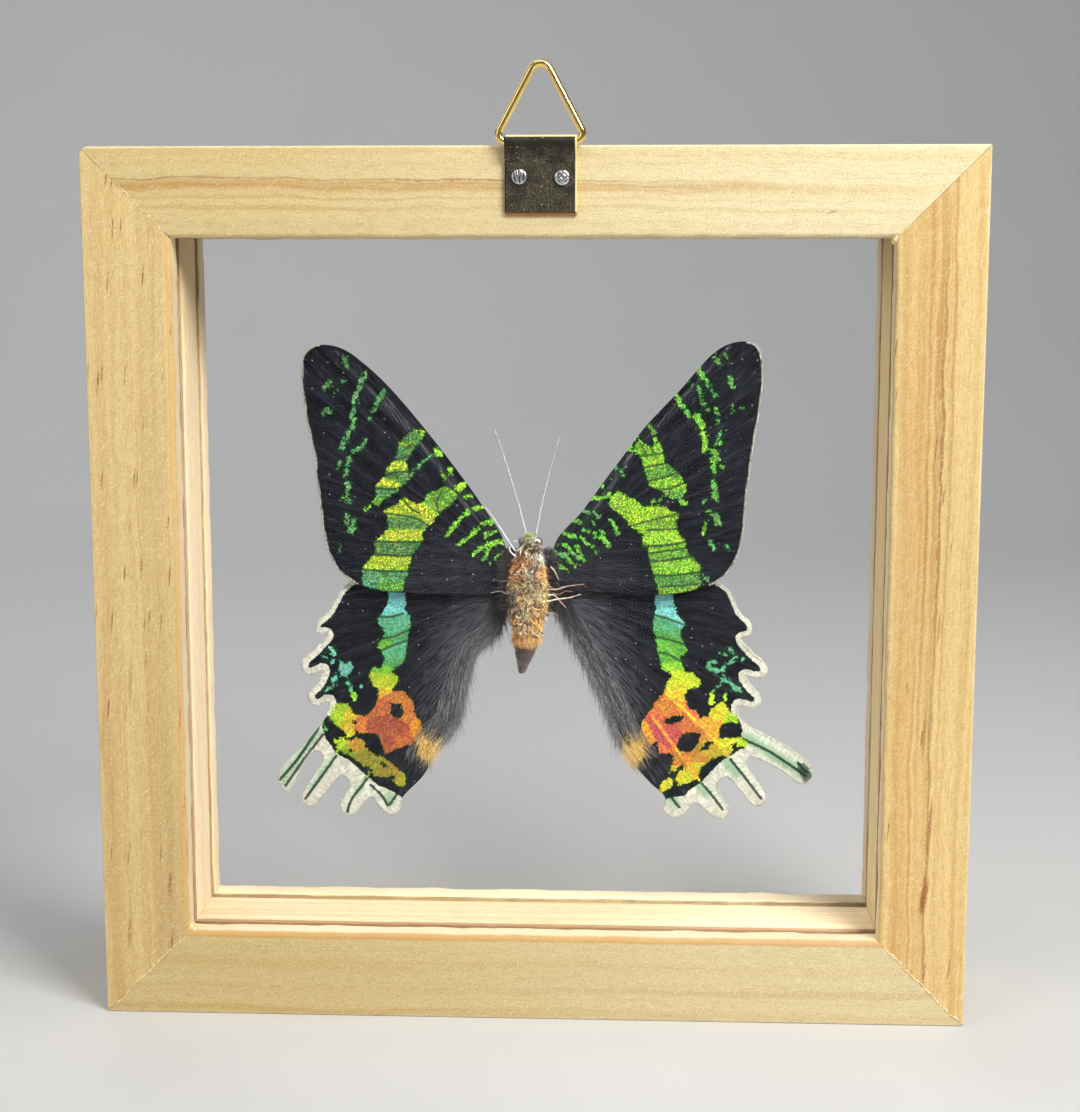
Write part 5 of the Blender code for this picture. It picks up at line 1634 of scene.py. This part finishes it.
def build_margin_hair(node, spec, finish):
    """Long soft hair along the hindwing's inner margin, and the tan tuft near its foot."""
    rng = np.random.default_rng(sum(map(ord, node)) + 7)
    line = open_curve(spec["inner"], 0.5)
    count = 3300
    share = rng.uniform(0.0, 0.80, count)
    base, along = along_line(line, share * lengths(line)[-1], 1.5)
    toward_body = 1.0 if spec["root"][0] < 0 else -1.0
    off = np.column_stack([-along[:, 1], along[:, 0]]) * toward_body
    edging = rng.uniform(0, 1, count) < 0.45
    inset = np.where(edging, rng.uniform(-0.1, 0.9, count),
                     rng.uniform(0.3, 4.6, count) * (0.6 + 0.6 * share))
    base = base - off * inset[:, None]
    tall = rng.uniform(1.6, 4.6, count) * (1 - 0.4 * smooth_step(0.6, 0.8, share))
    spread = np.where(edging, rng.uniform(0.05, 0.55, count), rng.normal(0.05, 0.10, count))
    curl = rng.normal(0, 0.12, count)
    side = spec["y"] - 0.12 - rng.uniform(0, 0.4, count)
    behind = rng.uniform(0, 1, count) < 0.3
    side = np.where(behind, spec["y"] + 0.3 + rng.uniform(0, 0.3, count), side)
    tilt = rng.uniform(-0.25, 0.25, count)
    levels = []
    for t in (0.0, 0.3, 0.62, 1.0):
        flat = base + along * (tall * t)[:, None] + off * ((spread + curl * t) * tall * t)[:, None]
        levels.append(np.column_stack([flat[:, 0], side + tilt * t, flat[:, 1]]))
    radii = rng.uniform(0.016, 0.044, count)[:, None] * np.array([1.0, 0.95, 0.7, 0.2])
    points, faces = hairs(np.stack(levels, axis=1), radii)
    obj = new_piece(f"{node}_hair", points, faces, finish)
    dark, light, tan = (np.array(srgb(*c)) for c in ((26, 26, 31), (172, 172, 176), (236, 202, 130)))
    mixing = rng.uniform(0, 1, count) ** 1.7 * 0.8 + np.where(edging, 0.30 * rng.uniform(0, 1, count), 0.0)
    mixing = (mixing * smooth_step(0.02, 0.25, share))[:, None]
    tint = dark * (1 - mixing) + light * mixing
    middle = base + along * (tall * 0.6)[:, None]
    foot = np.linalg.norm((middle - np.array(spec["tuft"])) / (2.2, 2.8), axis=1)
    tanned = smooth_step(1.15, 0.75, foot)[:, None]
    give_tint(obj, np.repeat(tint * (1 - tanned) + tan * tanned, 12, axis=0))


# ----------------------------------------------------------------------------------------------------
# Body, legs, antennae, glue
# ----------------------------------------------------------------------------------------------------

# z, middle x, half width, hanger-side y, display-side y
BODY = [
    (85.5, -0.7, 0.35, -2.2, -1.2), (84.9, -0.6, 1.1, -2.9, -0.5), (83.8, -0.6, 1.6, -3.6, 0.3),
    (82.8, -0.75, 1.75, -3.8, 0.6), (81.7, -0.85, 2.0, -4.1, 1.0), (80.3, -0.95, 2.5, -4.5, 1.6),
    (78.3, -1.0, 3.0, -4.8, 2.2), (75.6, -1.1, 3.45, -4.9, 2.4), (72.9, -1.1, 3.3, -4.9, 2.4),
    (70.4, -1.2, 2.75, -4.7, 2.1), (68.2, -1.3, 2.2, -4.4, 1.7), (66.6, -1.35, 2.0, -4.0, 1.3),
    (65.0, -1.45, 2.05, -3.7, 1.1), (63.4, -1.7, 1.6, -3.3, 0.7), (62.0, -1.9, 1.1, -3.0, 0.3),
    (61.0, -2.1, 0.8, -2.7, 0.0), (60.2, -2.2, 0.45, -2.3, -0.6),
]
# Colours of the fur, as it shows on the hanger side: x, z, how far the colour reaches, colour.
FUR_SPOTS = [
    (-1.0, 85.0, 0.6, srgb(205, 220, 165)), (-2.0, 84.0, 0.8, srgb(128, 122, 110)),
    (0.6, 83.9, 0.7, srgb(206, 202, 190)), (-0.7, 83.2, 0.6, srgb(84, 66, 50)),
    (0.7, 82.7, 0.6, srgb(96, 72, 54)), (-1.6, 82.6, 0.6, srgb(150, 118, 86)),
    (1.2, 81.4, 0.7, srgb(232, 228, 214)), (-2.6, 81.8, 0.7, srgb(176, 116, 66)),
    (-0.8, 81.4, 0.8, srgb(196, 150, 110)), (-3.4, 79.2, 0.9, srgb(244, 172, 96)),
    (-2.5, 79.9, 0.6, srgb(232, 148, 80)), (-3.1, 77.8, 0.6, srgb(244, 164, 84)),
    (-2.3, 78.0, 0.4, srgb(150, 78, 44)), (-3.4, 76.7, 0.7, srgb(246, 200, 140)),
    (-0.9, 79.8, 0.8, srgb(222, 176, 128)), (0.7, 79.6, 0.7, srgb(190, 176, 150)),
    (-0.6, 78.3, 0.9, srgb(206, 198, 176)), (1.5, 78.6, 0.8, srgb(240, 172, 96)),
    (1.8, 76.6, 0.8, srgb(246, 206, 136)), (-1.5, 76.4, 0.9, srgb(176, 150, 108)),
    (-2.4, 74.2, 0.8, srgb(232, 190, 118)), (0.2, 76.6, 0.8, srgb(168, 150, 118)),
    (-0.4, 74.4, 0.8, srgb(214, 196, 156)), (1.4, 74.2, 0.8, srgb(244, 216, 160)),
    (0.5, 72.8, 0.8, srgb(242, 184, 96)), (-1.4, 72.4, 0.8, srgb(200, 166, 118)),
    (-2.6, 72.0, 0.7, srgb(216, 168, 100)), (0.9, 70.4, 0.9, srgb(252, 184, 84)),
    (-1.2, 70.4, 0.7, srgb(206, 190, 160)), (-2.8, 70.2, 0.8, srgb(236, 172, 84)),
    (-1.0, 68.2, 0.8, srgb(232, 190, 128)), (0.4, 68.2, 0.8, srgb(246, 190, 104)),
    (-2.6, 67.6, 0.8, srgb(238, 178, 92)), (-1.4, 66.2, 0.8, srgb(226, 176, 108)),
    (-4.2, 74.2, 0.9, srgb(128, 124, 104)), (-4.0, 71.4, 0.8, srgb(132, 126, 110)),
    (2.4, 72.4, 0.6, srgb(222, 176, 120)), (-1.9, 64.0, 1.0, srgb(80, 66, 62)),
    (-2.3, 61.4, 0.9, srgb(90, 78, 76)),
]
HEM = 66.5


def body_at(z):
    """(middle x, half width, front y, back y) at a height."""
    rows = np.array(BODY)[::-1]
    return [np.interp(z, rows[:, 0], rows[:, k]) for k in (1, 2, 3, 4)]


def fur_color(points):
    """The fur's colour at (x, z) points."""
    spots = np.array([(a, b) for a, b, _, _ in FUR_SPOTS])
    sizes = np.array([c for _, _, c, _ in FUR_SPOTS])
    colors = np.array([d for _, _, _, d in FUR_SPOTS])
    gaps = np.linalg.norm(points[:, None] - spots[None], axis=2) / sizes
    weight = np.exp(-(gaps - gaps.min(axis=1, keepdims=True)) * 3.2)
    weight /= weight.sum(axis=1, keepdims=True)
    return weight @ colors


def body_surface(z, turn):
    """Point and outward direction on the body at a height and an angle: 0 is +X, 270 degrees is -Y."""
    middle, half, front, back = body_at(z)
    depth = (back - front) / 2
    x = middle + half * np.cos(turn)
    y = (front + back) / 2 + depth * np.sin(turn)
    out = [np.cos(turn) / np.maximum(half, 0.2), np.sin(turn) / np.maximum(depth, 0.2), 0 * turn]
    return np.column_stack([x, y, z]), unit(np.column_stack(out))


def build_body(finish):
    sides = 72
    turn = np.linspace(0, 2 * math.pi, sides, endpoint=False)
    rings, shades = [], []
    for z in np.linspace(BODY[0][0], BODY[-1][0], 170):
        points, out = body_surface(np.full(sides, z), turn)
        ring = abs(((z - 60.6) / 1.45) % 1 - 0.5) * 2
        below = smooth_step(HEM + 0.2, HEM - 0.4, z)
        swell = below * 0.14 * smooth_step(0.0, 0.35, ring)
        bumps = (1 - below) * (0.22 * ripple(turn * 2.4, points[:, 2], 8, 1.6) - 0.2)
        bumps = bumps + 0.05 * ripple(turn * 2.4, points[:, 2], 9, 0.5)
        rings.append(points + out * (swell - 0.05 + bumps)[:, None])
        # Painted shade: the skin under the fur is darkened to 0.4; on the bare tip below the hem it is darker
        # at the segment joints.
        dark = 0.4 + below * (0.1 + 0.42 * smooth_step(0.0, 0.3, ring))
        shades.append(fur_color(points[:, [0, 2]]) * dark)
    points, faces = skin(rings)
    obj = new_piece("body_skin", points, faces, finish, stands_for=["body"])
    give_tint(obj, np.vstack(shades))


def fur_paths(rng, at, out, length, lay, curl, lift, rings):
    """Curved hairs from points on the body. lay is the way they lie, lift how far their ends rise."""
    lay = unit(lay)
    across = np.cross(out, lay)
    bend = rng.normal(0, curl, len(at))
    straight = np.abs(bend) < 0.05
    bend_or_one = np.where(straight, 1.0, bend)
    levels = []
    for t in np.linspace(0, 1, rings):
        turn = bend * t
        ahead = np.where(straight, t, np.sin(turn) / bend_or_one)
        aside = (1 - np.cos(turn)) / bend_or_one
        rise = lift * np.sin(t * math.pi * 0.8)
        step = lay * ahead[:, None] + across * aside[:, None] + out * rise[:, None]
        levels.append(at + step * length[:, None] - out * 0.08)
    return np.stack(levels, axis=1)


def back_tint(tint, y, rng):
    """Fur colours, turned to the dark green of the back where y lies toward the display side."""
    back = smooth_step(0.2, 1.5, y)[:, None]
    dorsal = np.array(srgb(44, 56, 38)) * rng.uniform(0.5, 1.6, len(y))[:, None]
    return tint * (1 - back) + dorsal * back


def build_body_locks(finish):
    """Matted locks on the underside: strands that leave the skin apart and draw together at the tip."""
    rng = np.random.default_rng(11)
    count, strands, rings, sides = 290, 9, 7, 4
    z = rng.uniform(HEM + 0.5, 83.6, count)
    at, out = body_surface(z, np.radians(rng.uniform(192, 348, count)))
    lay = np.column_stack([rng.normal(0, 0.8, count), np.zeros(count), np.full(count, -1.0)])
    length = rng.uniform(0.7, 1.7, count)
    middle = fur_paths(rng, at - out * 0.05, out, length, lay, 2.0, rng.uniform(0.0, 0.25, count), rings)
    share = np.linspace(0, 1, rings)
    spread = rng.normal(0, 1, (count, strands, 1, 3)) * rng.uniform(0.10, 0.22, (count, 1, 1, 1))
    paths = middle[:, None] + spread * (1 - 0.82 * share ** 0.8)[:, None]
    paths = paths.reshape(count * strands, rings, 3)
    radii = rng.uniform(0.025, 0.055, count * strands)[:, None] * (1 - 0.6 * share ** 2)
    points, faces = hairs(paths, radii, sides)
    obj = new_piece("body_locks", points, faces, finish)
    tint = fur_color(middle[:, rings // 2, [0, 2]])
    pick = rng.uniform(0, 1, count)[:, None]
    centre = smooth_step(2.6, 1.2, np.abs(at[:, 0] + 0.9))[:, None]
    tint = np.where(pick < 0.26 * centre, np.array(srgb(246, 234, 202)), tint)
    tint = np.where((pick > 0.5) & (pick < 0.5 + 0.24 * centre), np.array(srgb(112, 78, 48)), tint)
    tint = np.where(pick > 0.92, np.array(srgb(58, 44, 32)), tint)
    tint = np.repeat(tint * rng.uniform(0.75, 1.2, count)[:, None], strands, axis=0)
    tint = tint * rng.uniform(0.6, 1.3, len(tint))[:, None]
    # Painted shade and light: each strand darker at its root and lighter at its tip.
    tint = tint[:, None] * (0.5 + 0.95 * share)[:, None]
    give_tint(obj, np.repeat(np.minimum(tint, 1.0).reshape(-1, 3), sides, axis=0))


def build_body_fur(finish, wet):
    """Glossy curls, fine hair all over, and a ragged hem above the bare tip."""
    rng = np.random.default_rng(13)
    # name, count, lengths, thicknesses, curl, rings, sides, lowest z, angles round the body, sideways lean
    kinds = [
        ("body_curls", 560, (0.6, 1.5), (0.03, 0.065), 2.6, 8, 5, HEM + 0.6, (205, 335), 1.1),
        ("body_clumps", 1500, (0.6, 1.4), (0.04, 0.09), 1.2, 6, 3, HEM + 0.2, (-30, 210), 0.5),
        ("body_hairs", 2600, (0.6, 1.7), (0.012, 0.030), 0.9, 5, 3, HEM, (0, 360), 0.5),
        ("body_hem", 420, (0.8, 1.9), (0.02, 0.07), 0.5, 5, 3, HEM - 0.2, (0, 360), 0.25),
    ]
    for name, count, tall, thick, curl, rings, sides, lowest, arc_of, loose in kinds:
        top = HEM + 0.9 if name == "body_hem" else BODY[0][0] - 0.6
        z = rng.uniform(lowest, top, count)
        turn = np.radians(rng.uniform(*arc_of, count))
        at, out = body_surface(z, turn)
        length = rng.uniform(*tall, count)
        lay = np.column_stack([rng.normal(0, loose, count), np.zeros(count), np.full(count, -1.0)])
        lay += out * rng.uniform(0.05, 0.35, count)[:, None]
        paths = fur_paths(rng, at, out, length, lay, curl, rng.uniform(0.0, 0.35, count), rings)
        share = np.linspace(0, 1, rings)
        taper = np.sin((0.18 + 0.80 * share) * math.pi) ** 0.6 if sides > 3 else 1 - 0.75 * share ** 1.5
        radii = rng.uniform(*thick, count)[:, None] * taper
        points, faces = hairs(paths, radii, sides)
        obj = new_piece(name, points, faces, wet if sides > 3 else finish)
        tint = fur_color(at[:, [0, 2]] + rng.normal(0, 0.45, (count, 2)))
        if sides > 3:
            pick = rng.uniform(0, 1, count)[:, None]
            # Pale curls: pale hair, which also stands for painted highlights on the wet, glossy fur.
            tint = np.where(pick < 0.3, np.array(srgb(252, 236, 192)), tint)
            tint = np.where((pick > 0.3) & (pick < 0.5), np.array(srgb(92, 62, 38)), tint)
        tint = back_tint(tint * rng.uniform(0.6, 1.3, count)[:, None], at[:, 1], rng)
        give_tint(obj, np.repeat(np.minimum(tint, 1.0), rings * sides, axis=0))


def build_flanks(finish):
    """Dark scales and bristles where the wings leave the thorax."""
    rng = np.random.default_rng(23)
    for name, root, span in (("flank_left", (-3.6, -5.6), -1), ("flank_right", (1.6, 3.6), 1)):
        count = 1300
        x = rng.uniform(min(root), max(root), count)
        z = rng.uniform(71.6, 82.4, count)
        y = rng.uniform(-1.5, 1.2, count)
        inward = smooth_step(80.5, 84.0, z) * 1.5
        at = np.column_stack([x - span * inward, y, z])
        lay = np.column_stack([np.full(count, span * 1.0), rng.normal(0, 0.25, count),
                               rng.normal(0, 0.55, count) + (z - 77.5) * 0.10])
        out = np.tile([0.0, -1.0, 0.0], (count, 1))
        length = rng.uniform(0.8, 2.2, count) * (1 - 0.5 * smooth_step(80.0, 82.4, z))
        paths = fur_paths(rng, at, out, length, lay, 0.8, rng.uniform(0, 0.3, count), 5)
        pale = rng.uniform(0, 1, count) < 0.05
        thick = np.where(pale, 0.02, rng.uniform(0.03, 0.085, count))
        points, faces = hairs(paths, thick[:, None] * np.array([1, 1, 0.85, 0.6, 0.15]))
        obj = new_piece(name, points, faces, finish)
        dark = np.array(srgb(44, 38, 40)) * rng.uniform(0.3, 1.8, count)[:, None]
        tint = np.where(pale[:, None], np.array(srgb(196, 188, 176)), dark)
        give_tint(obj, np.repeat(tint, 15, axis=0))


def build_colored(name, parts, finish):
    """One piece from several ((points, faces), colour)."""
    points, faces = join_shapes([shape for shape, _ in parts])
    obj = new_piece(name, points, faces, finish)
    give_tint(obj, np.vstack([np.repeat([color], len(shape[0]), axis=0) for shape, color in parts]))


# Four places along each leg, then its thickness at the thigh and its colour.
LEGS = [
    ((2.0, -3.6, 75.6), (4.0, -2.4, 75.5), (6.0, -1.4, 75.9), (8.9, -0.9, 76.2), 0.15, srgb(168, 138, 118)),
    ((2.2, -3.4, 73.4), (4.3, -2.2, 73.7), (6.2, -1.3, 73.8), (8.3, -0.9, 74.4), 0.18, srgb(206, 186, 164)),
    ((2.4, -3.2, 74.6), (3.6, -2.4, 74.4), (4.6, -1.6, 73.2), (5.6, -1.0, 72.0), 0.15, srgb(214, 198, 180)),
    ((2.6, -3.2, 76.4), (3.4, -2.6, 75.6), (4.3, -1.8, 75.4), (5.0, -1.4, 75.9), 0.11, srgb(176, 148, 122)),
    ((3.2, -2.6, 74.9), (4.4, -2.0, 74.5), (5.6, -1.4, 75.0), (6.8, -1.0, 74.8), 0.09, srgb(160, 130, 106)),
    ((1.8, -3.3, 71.6), (2.8, -2.6, 71.2), (3.5, -1.8, 71.1), (4.1, -1.3, 70.6), 0.19, srgb(176, 150, 130)),
    ((3.0, -3.0, 79.6), (3.5, -2.6, 79.0), (3.9, -2.2, 78.2), (4.4, -1.6, 77.0), 0.13, srgb(220, 212, 200)),
    ((-3.7, -3.2, 75.2), (-4.9, -2.2, 74.6), (-6.0, -1.4, 74.9), (-7.8, -0.9, 74.5), 0.15,
     srgb(168, 162, 158)),
    ((-3.6, -3.2, 76.5), (-4.7, -2.2, 76.9), (-5.9, -1.3, 76.6), (-7.4, -0.9, 77.0), 0.13,
     srgb(140, 134, 132)),
    ((-3.3, -2.6, 82.3), (-4.6, -2.2, 84.2), (-6.5, -1.4, 87.0), (-8.8, -0.9, 90.2), 0.13,
     srgb(214, 210, 208)),
    ((-3.6, -3.3, 84.0), (-3.3, -3.5, 84.3), (-2.9, -3.5, 84.2), (-2.6, -3.3, 83.8), 0.09,
     srgb(236, 232, 226)),
    ((-3.2, -3.0, 81.4), (-3.9, -2.8, 82.0), (-4.3, -2.6, 82.5), (-4.2, -2.4, 83.0), 0.16,
     srgb(238, 234, 228)),
]


def build_legs(finish):
    """Folded, broken-off legs, thicker at the thigh, with a slight swelling at each joint."""
    parts = []
    for *path, thigh, color in LEGS:
        line = open_curve(path, 0.25)
        share = np.linspace(0, 1, len(line))
        radii = thigh * (1 - 0.65 * share + 0.1 * np.sin(share * 9 * math.pi))
        parts.append((tube(line, radii, 8), color))
    build_colored("legs", parts, finish)


def eyes():
    """Two domes and the colour of each."""
    turn = np.linspace(0, 2 * math.pi, 24, endpoint=False)
    for x, color in ((-2.0, srgb(104, 98, 88)), (0.75, srgb(92, 84, 74))):
        rings = []
        for a in np.radians(np.linspace(-80, 80, 15)):
            r = 0.8 * math.cos(a)
            rings.append(np.column_stack([x + r * np.cos(turn), np.full(24, -2.3 + 0.8 * math.sin(a)),
                                          84.0 + r * np.sin(turn)]))
        yield skin(rings), color


# Palps and curled scales on the head: four places along each, then its thickness and its colour.
CURLS = [
    ((-1.5, -3.6, 82.9), (-1.2, -4.3, 83.6), (-0.6, -4.3, 83.9), (-0.4, -3.8, 83.3), 0.2, srgb(92, 74, 58)),
    ((0.9, -3.6, 82.6), (0.9, -4.3, 83.3), (0.3, -4.4, 83.6), (0.0, -3.9, 83.1), 0.2, srgb(120, 98, 78)),
    ((0.1, -3.5, 84.1), (0.5, -3.8, 84.5), (0.95, -3.6, 84.3), (1.1, -3.1, 83.9), 0.22, srgb(238, 236, 226)),
    ((-1.7, -3.4, 84.2), (-1.4, -3.7, 84.7), (-0.9, -3.6, 84.6), (-0.8, -3.2, 84.2), 0.15,
     srgb(160, 150, 128)),
    ((1.0, -3.9, 81.9), (1.4, -4.2, 81.4), (1.2, -4.3, 80.9), (0.8, -4.1, 81.2), 0.2, srgb(240, 238, 228)),
]


def tongue():
    """The coiled tongue and its colour."""
    turns = np.linspace(0, 2.6 * 2 * math.pi, 120)
    radius = 0.12 + 0.4 * turns / turns[-1]
    coil = np.column_stack([-0.3 + radius * np.cos(turns), -4.1 + 0.02 * turns,
                            82.5 + radius * np.sin(turns)])
    return tube(coil, np.linspace(0.05, 0.1, 120), 8), srgb(84, 58, 40)


def build_head(finish):
    """Compound eyes, the green tuft, curled palps and the coiled tongue."""
    parts = list(eyes())
    for *path, radius, color in CURLS:
        line = open_curve(path, 0.15)
        swell = 0.55 + 0.45 * np.sin(np.linspace(0, 1, len(line)) * math.pi)
        parts.append((tube(line, radius * swell, 8), color))
    parts.append(tongue())
    build_colored("head_parts", parts, finish)

    rng = np.random.default_rng(31)
    count = 260
    at = np.column_stack([rng.uniform(-1.5, -0.3, count), rng.uniform(-3.2, -2.2, count),
                          rng.uniform(84.2, 85.2, count)])
    lay = np.column_stack([(at[:, 0] + 0.9) * 0.8, rng.normal(-0.1, 0.2, count), np.ones(count)])
    out = np.tile([0.0, -1.0, 0.0], (count, 1))
    paths = fur_paths(rng, at, out, rng.uniform(0.4, 0.9, count), lay, 0.6, rng.uniform(0, 0.3, count), 5)
    points, faces = hairs(paths, rng.uniform(0.02, 0.05, count)[:, None] * np.array([1, 1, 0.8, 0.5, 0.2]))
    tuft = new_piece("head_tuft", points, faces, finish)
    tint = np.array(srgb(196, 214, 150)) * rng.uniform(0.6, 1.2, count)[:, None]
    give_tint(tuft, np.repeat(tint, 15, axis=0))


def build_antennae(finish):
    """Thread-like antennae with rings, the plain kind without clubs."""
    for node, base in (("antenna_left", -1.4), ("antenna_right", 0.35)):
        low, high = box_mm(node)
        tip_x = low[0] if node.endswith("left") else high[0]
        start = np.array([base, -1.9, 85.3])
        end = np.array([tip_x, -0.4, high[2]])
        share = np.linspace(0, 1, 150)
        path = start + (end - start) * share[:, None]
        path[:, 0] += 0.25 * np.sin(share * math.pi) * (1 if node.endswith("left") else -1)
        radii = (0.17 - 0.07 * share) * (1 + 0.12 * np.sin(share * 75 * math.pi))
        points, faces = tube(path, radii, 8)
        obj = new_piece(f"{node}_thread", points, faces, finish, stands_for=[node])
        shade = np.array(srgb(186, 186, 192)) * (1 - 0.3 * share[:, None])
        give_tint(obj, np.repeat(shade, 8, axis=0))


def build_glue():
    """A thin clear blob with an uneven edge, between the fur and the pane."""
    low, high = box_mm("glue_dab")
    middle, half = (low + high) / 2, (high - low) / 2
    turn = np.linspace(0, 2 * math.pi, 72, endpoint=False)
    edge = 1 + 0.10 * ripple(turn * 3, 0 * turn, 4, 5.0) - 0.08
    rings = []
    for t in np.linspace(-88, 88, 22):
        r = math.cos(math.radians(t)) ** 0.5
        y = middle[1] + half[1] * math.sin(math.radians(t))
        rings.append(np.column_stack([middle[0] + half[0] * r * edge * np.cos(turn), np.full(72, y),
                                      middle[2] + half[2] * r * edge * np.sin(turn)]))
    points, faces = skin(rings)
    obj = new_piece("glue_blob", points, faces, clear_glue(), stands_for=["glue_dab"])
    obj.visible_shadow = False


def build_moth():
    scales = {
        "forewing": wing_scales("forewing_scales", 1.0, srgb(204, 194, 180), srgb(120, 112, 108)),
        "hindwing": wing_scales("hindwing_scales", 0.5, srgb(214, 213, 198), srgb(138, 140, 120)),
    }
    soft = tinted("soft_hair")
    wet = tinted("matted_fur", 0.3, 0.0, 0.3, 0.5)
    chitin = tinted("chitin", 0.4, 0.0, 0.2, 0.5)
    for node in WINGS:
        outline, spec = build_wing(node, scales[node.split("_")[0]])
        build_fringe(node, outline, spec, soft)
        if "inner" in spec:
            build_margin_hair(node, spec, soft)
    build_body(soft)
    build_body_locks(soft)
    build_body_fur(soft, wet)
    build_flanks(soft)
    build_legs(chitin)
    build_head(chitin)
    build_antennae(chitin)
    build_glue()


# ----------------------------------------------------------------------------------------------------
# Studio
# ----------------------------------------------------------------------------------------------------

def lamp(name, place, aim, size, power, color=(1.0, 1.0, 1.0)):
    """A rectangular lamp turned toward a point. Here lengths are metres."""
    light = bpy.data.lights.new(name, "AREA")
    light.shape = "RECTANGLE"
    light.size, light.size_y = size
    light.energy = power
    light.color = color
    obj = bpy.data.objects.new(name, light)
    obj.location = place
    obj.rotation_euler = (Vector(aim) - Vector(place)).to_track_quat("-Z", "Y").to_euler()
    bpy.context.scene.collection.objects.link(obj)


def build_sweep():
    """A paper sweep: flat under the part and curved up behind it."""
    f = Finish("paper_sweep")
    tone = f.noise(f.place(), 0.01, 3.0)
    paper = f.mix(tone, (0.66, 0.66, 0.66), (0.70, 0.70, 0.70))
    f.set(Base_Color=paper, Roughness=0.9, Specular_IOR_Level=0.1)
    width, start, radius, top = 1.6, 0.55, 0.35, 1.1
    profile = [(-2.0, 0.0), (start, 0.0), *arc((start, radius), radius, -84, 0, 14), (start + radius, top)]
    points = [(x, y, z) for x in (-width, width) for y, z in profile]
    count = len(profile)
    faces = [(i, i + 1, count + i + 1, count + i) for i in range(count - 1)]
    mesh = bpy.data.meshes.new("floor")
    mesh.from_pydata(points, [], faces)
    mesh.shade_smooth()
    mesh.materials.append(f.made)
    floor = bpy.data.objects.new("floor", mesh)
    bpy.context.scene.collection.objects.link(floor)


def build_lamps():
    target = (0.0, 0.0, 0.08)
    lamp("key", (0.24, -0.30, 0.42), target, (0.22, 0.22), 2.36, (1.0, 0.98, 0.94))
    lamp("fill", (-0.75, -0.55, 0.45), target, (0.7, 0.7), 1.78)
    lamp("top", (0.05, -0.20, 0.90), target, (0.9, 0.5), 2.42)
    lamp("back", (-0.35, 0.75, 0.65), target, (0.6, 0.6), 1.8)


def build_world():
    world = bpy.data.worlds.new("studio")
    world.use_nodes = True
    shade = world.node_tree.nodes["Background"]
    shade.inputs["Color"].default_value = (0.9, 0.95, 1.0, 1.0)
    shade.inputs["Strength"].default_value = 0.14
    bpy.context.scene.world = world
    bpy.context.scene.view_settings.view_transform = "Standard"


def build_camera():
    data = bpy.data.cameras.new("camera")
    data.lens = 63.96
    data.clip_start = 0.01
    camera = bpy.data.objects.new("camera", data)
    camera.location = (0.0174, -0.3472, 0.1338)
    camera.rotation_euler = (math.radians(81.367), 0.0, math.radians(2.713))
    bpy.context.scene.collection.objects.link(camera)
    bpy.context.scene.camera = camera


build_frame()
build_seams()
build_hanger()
build_moth()
build_sweep()
build_lamps()
build_world()
build_camera()
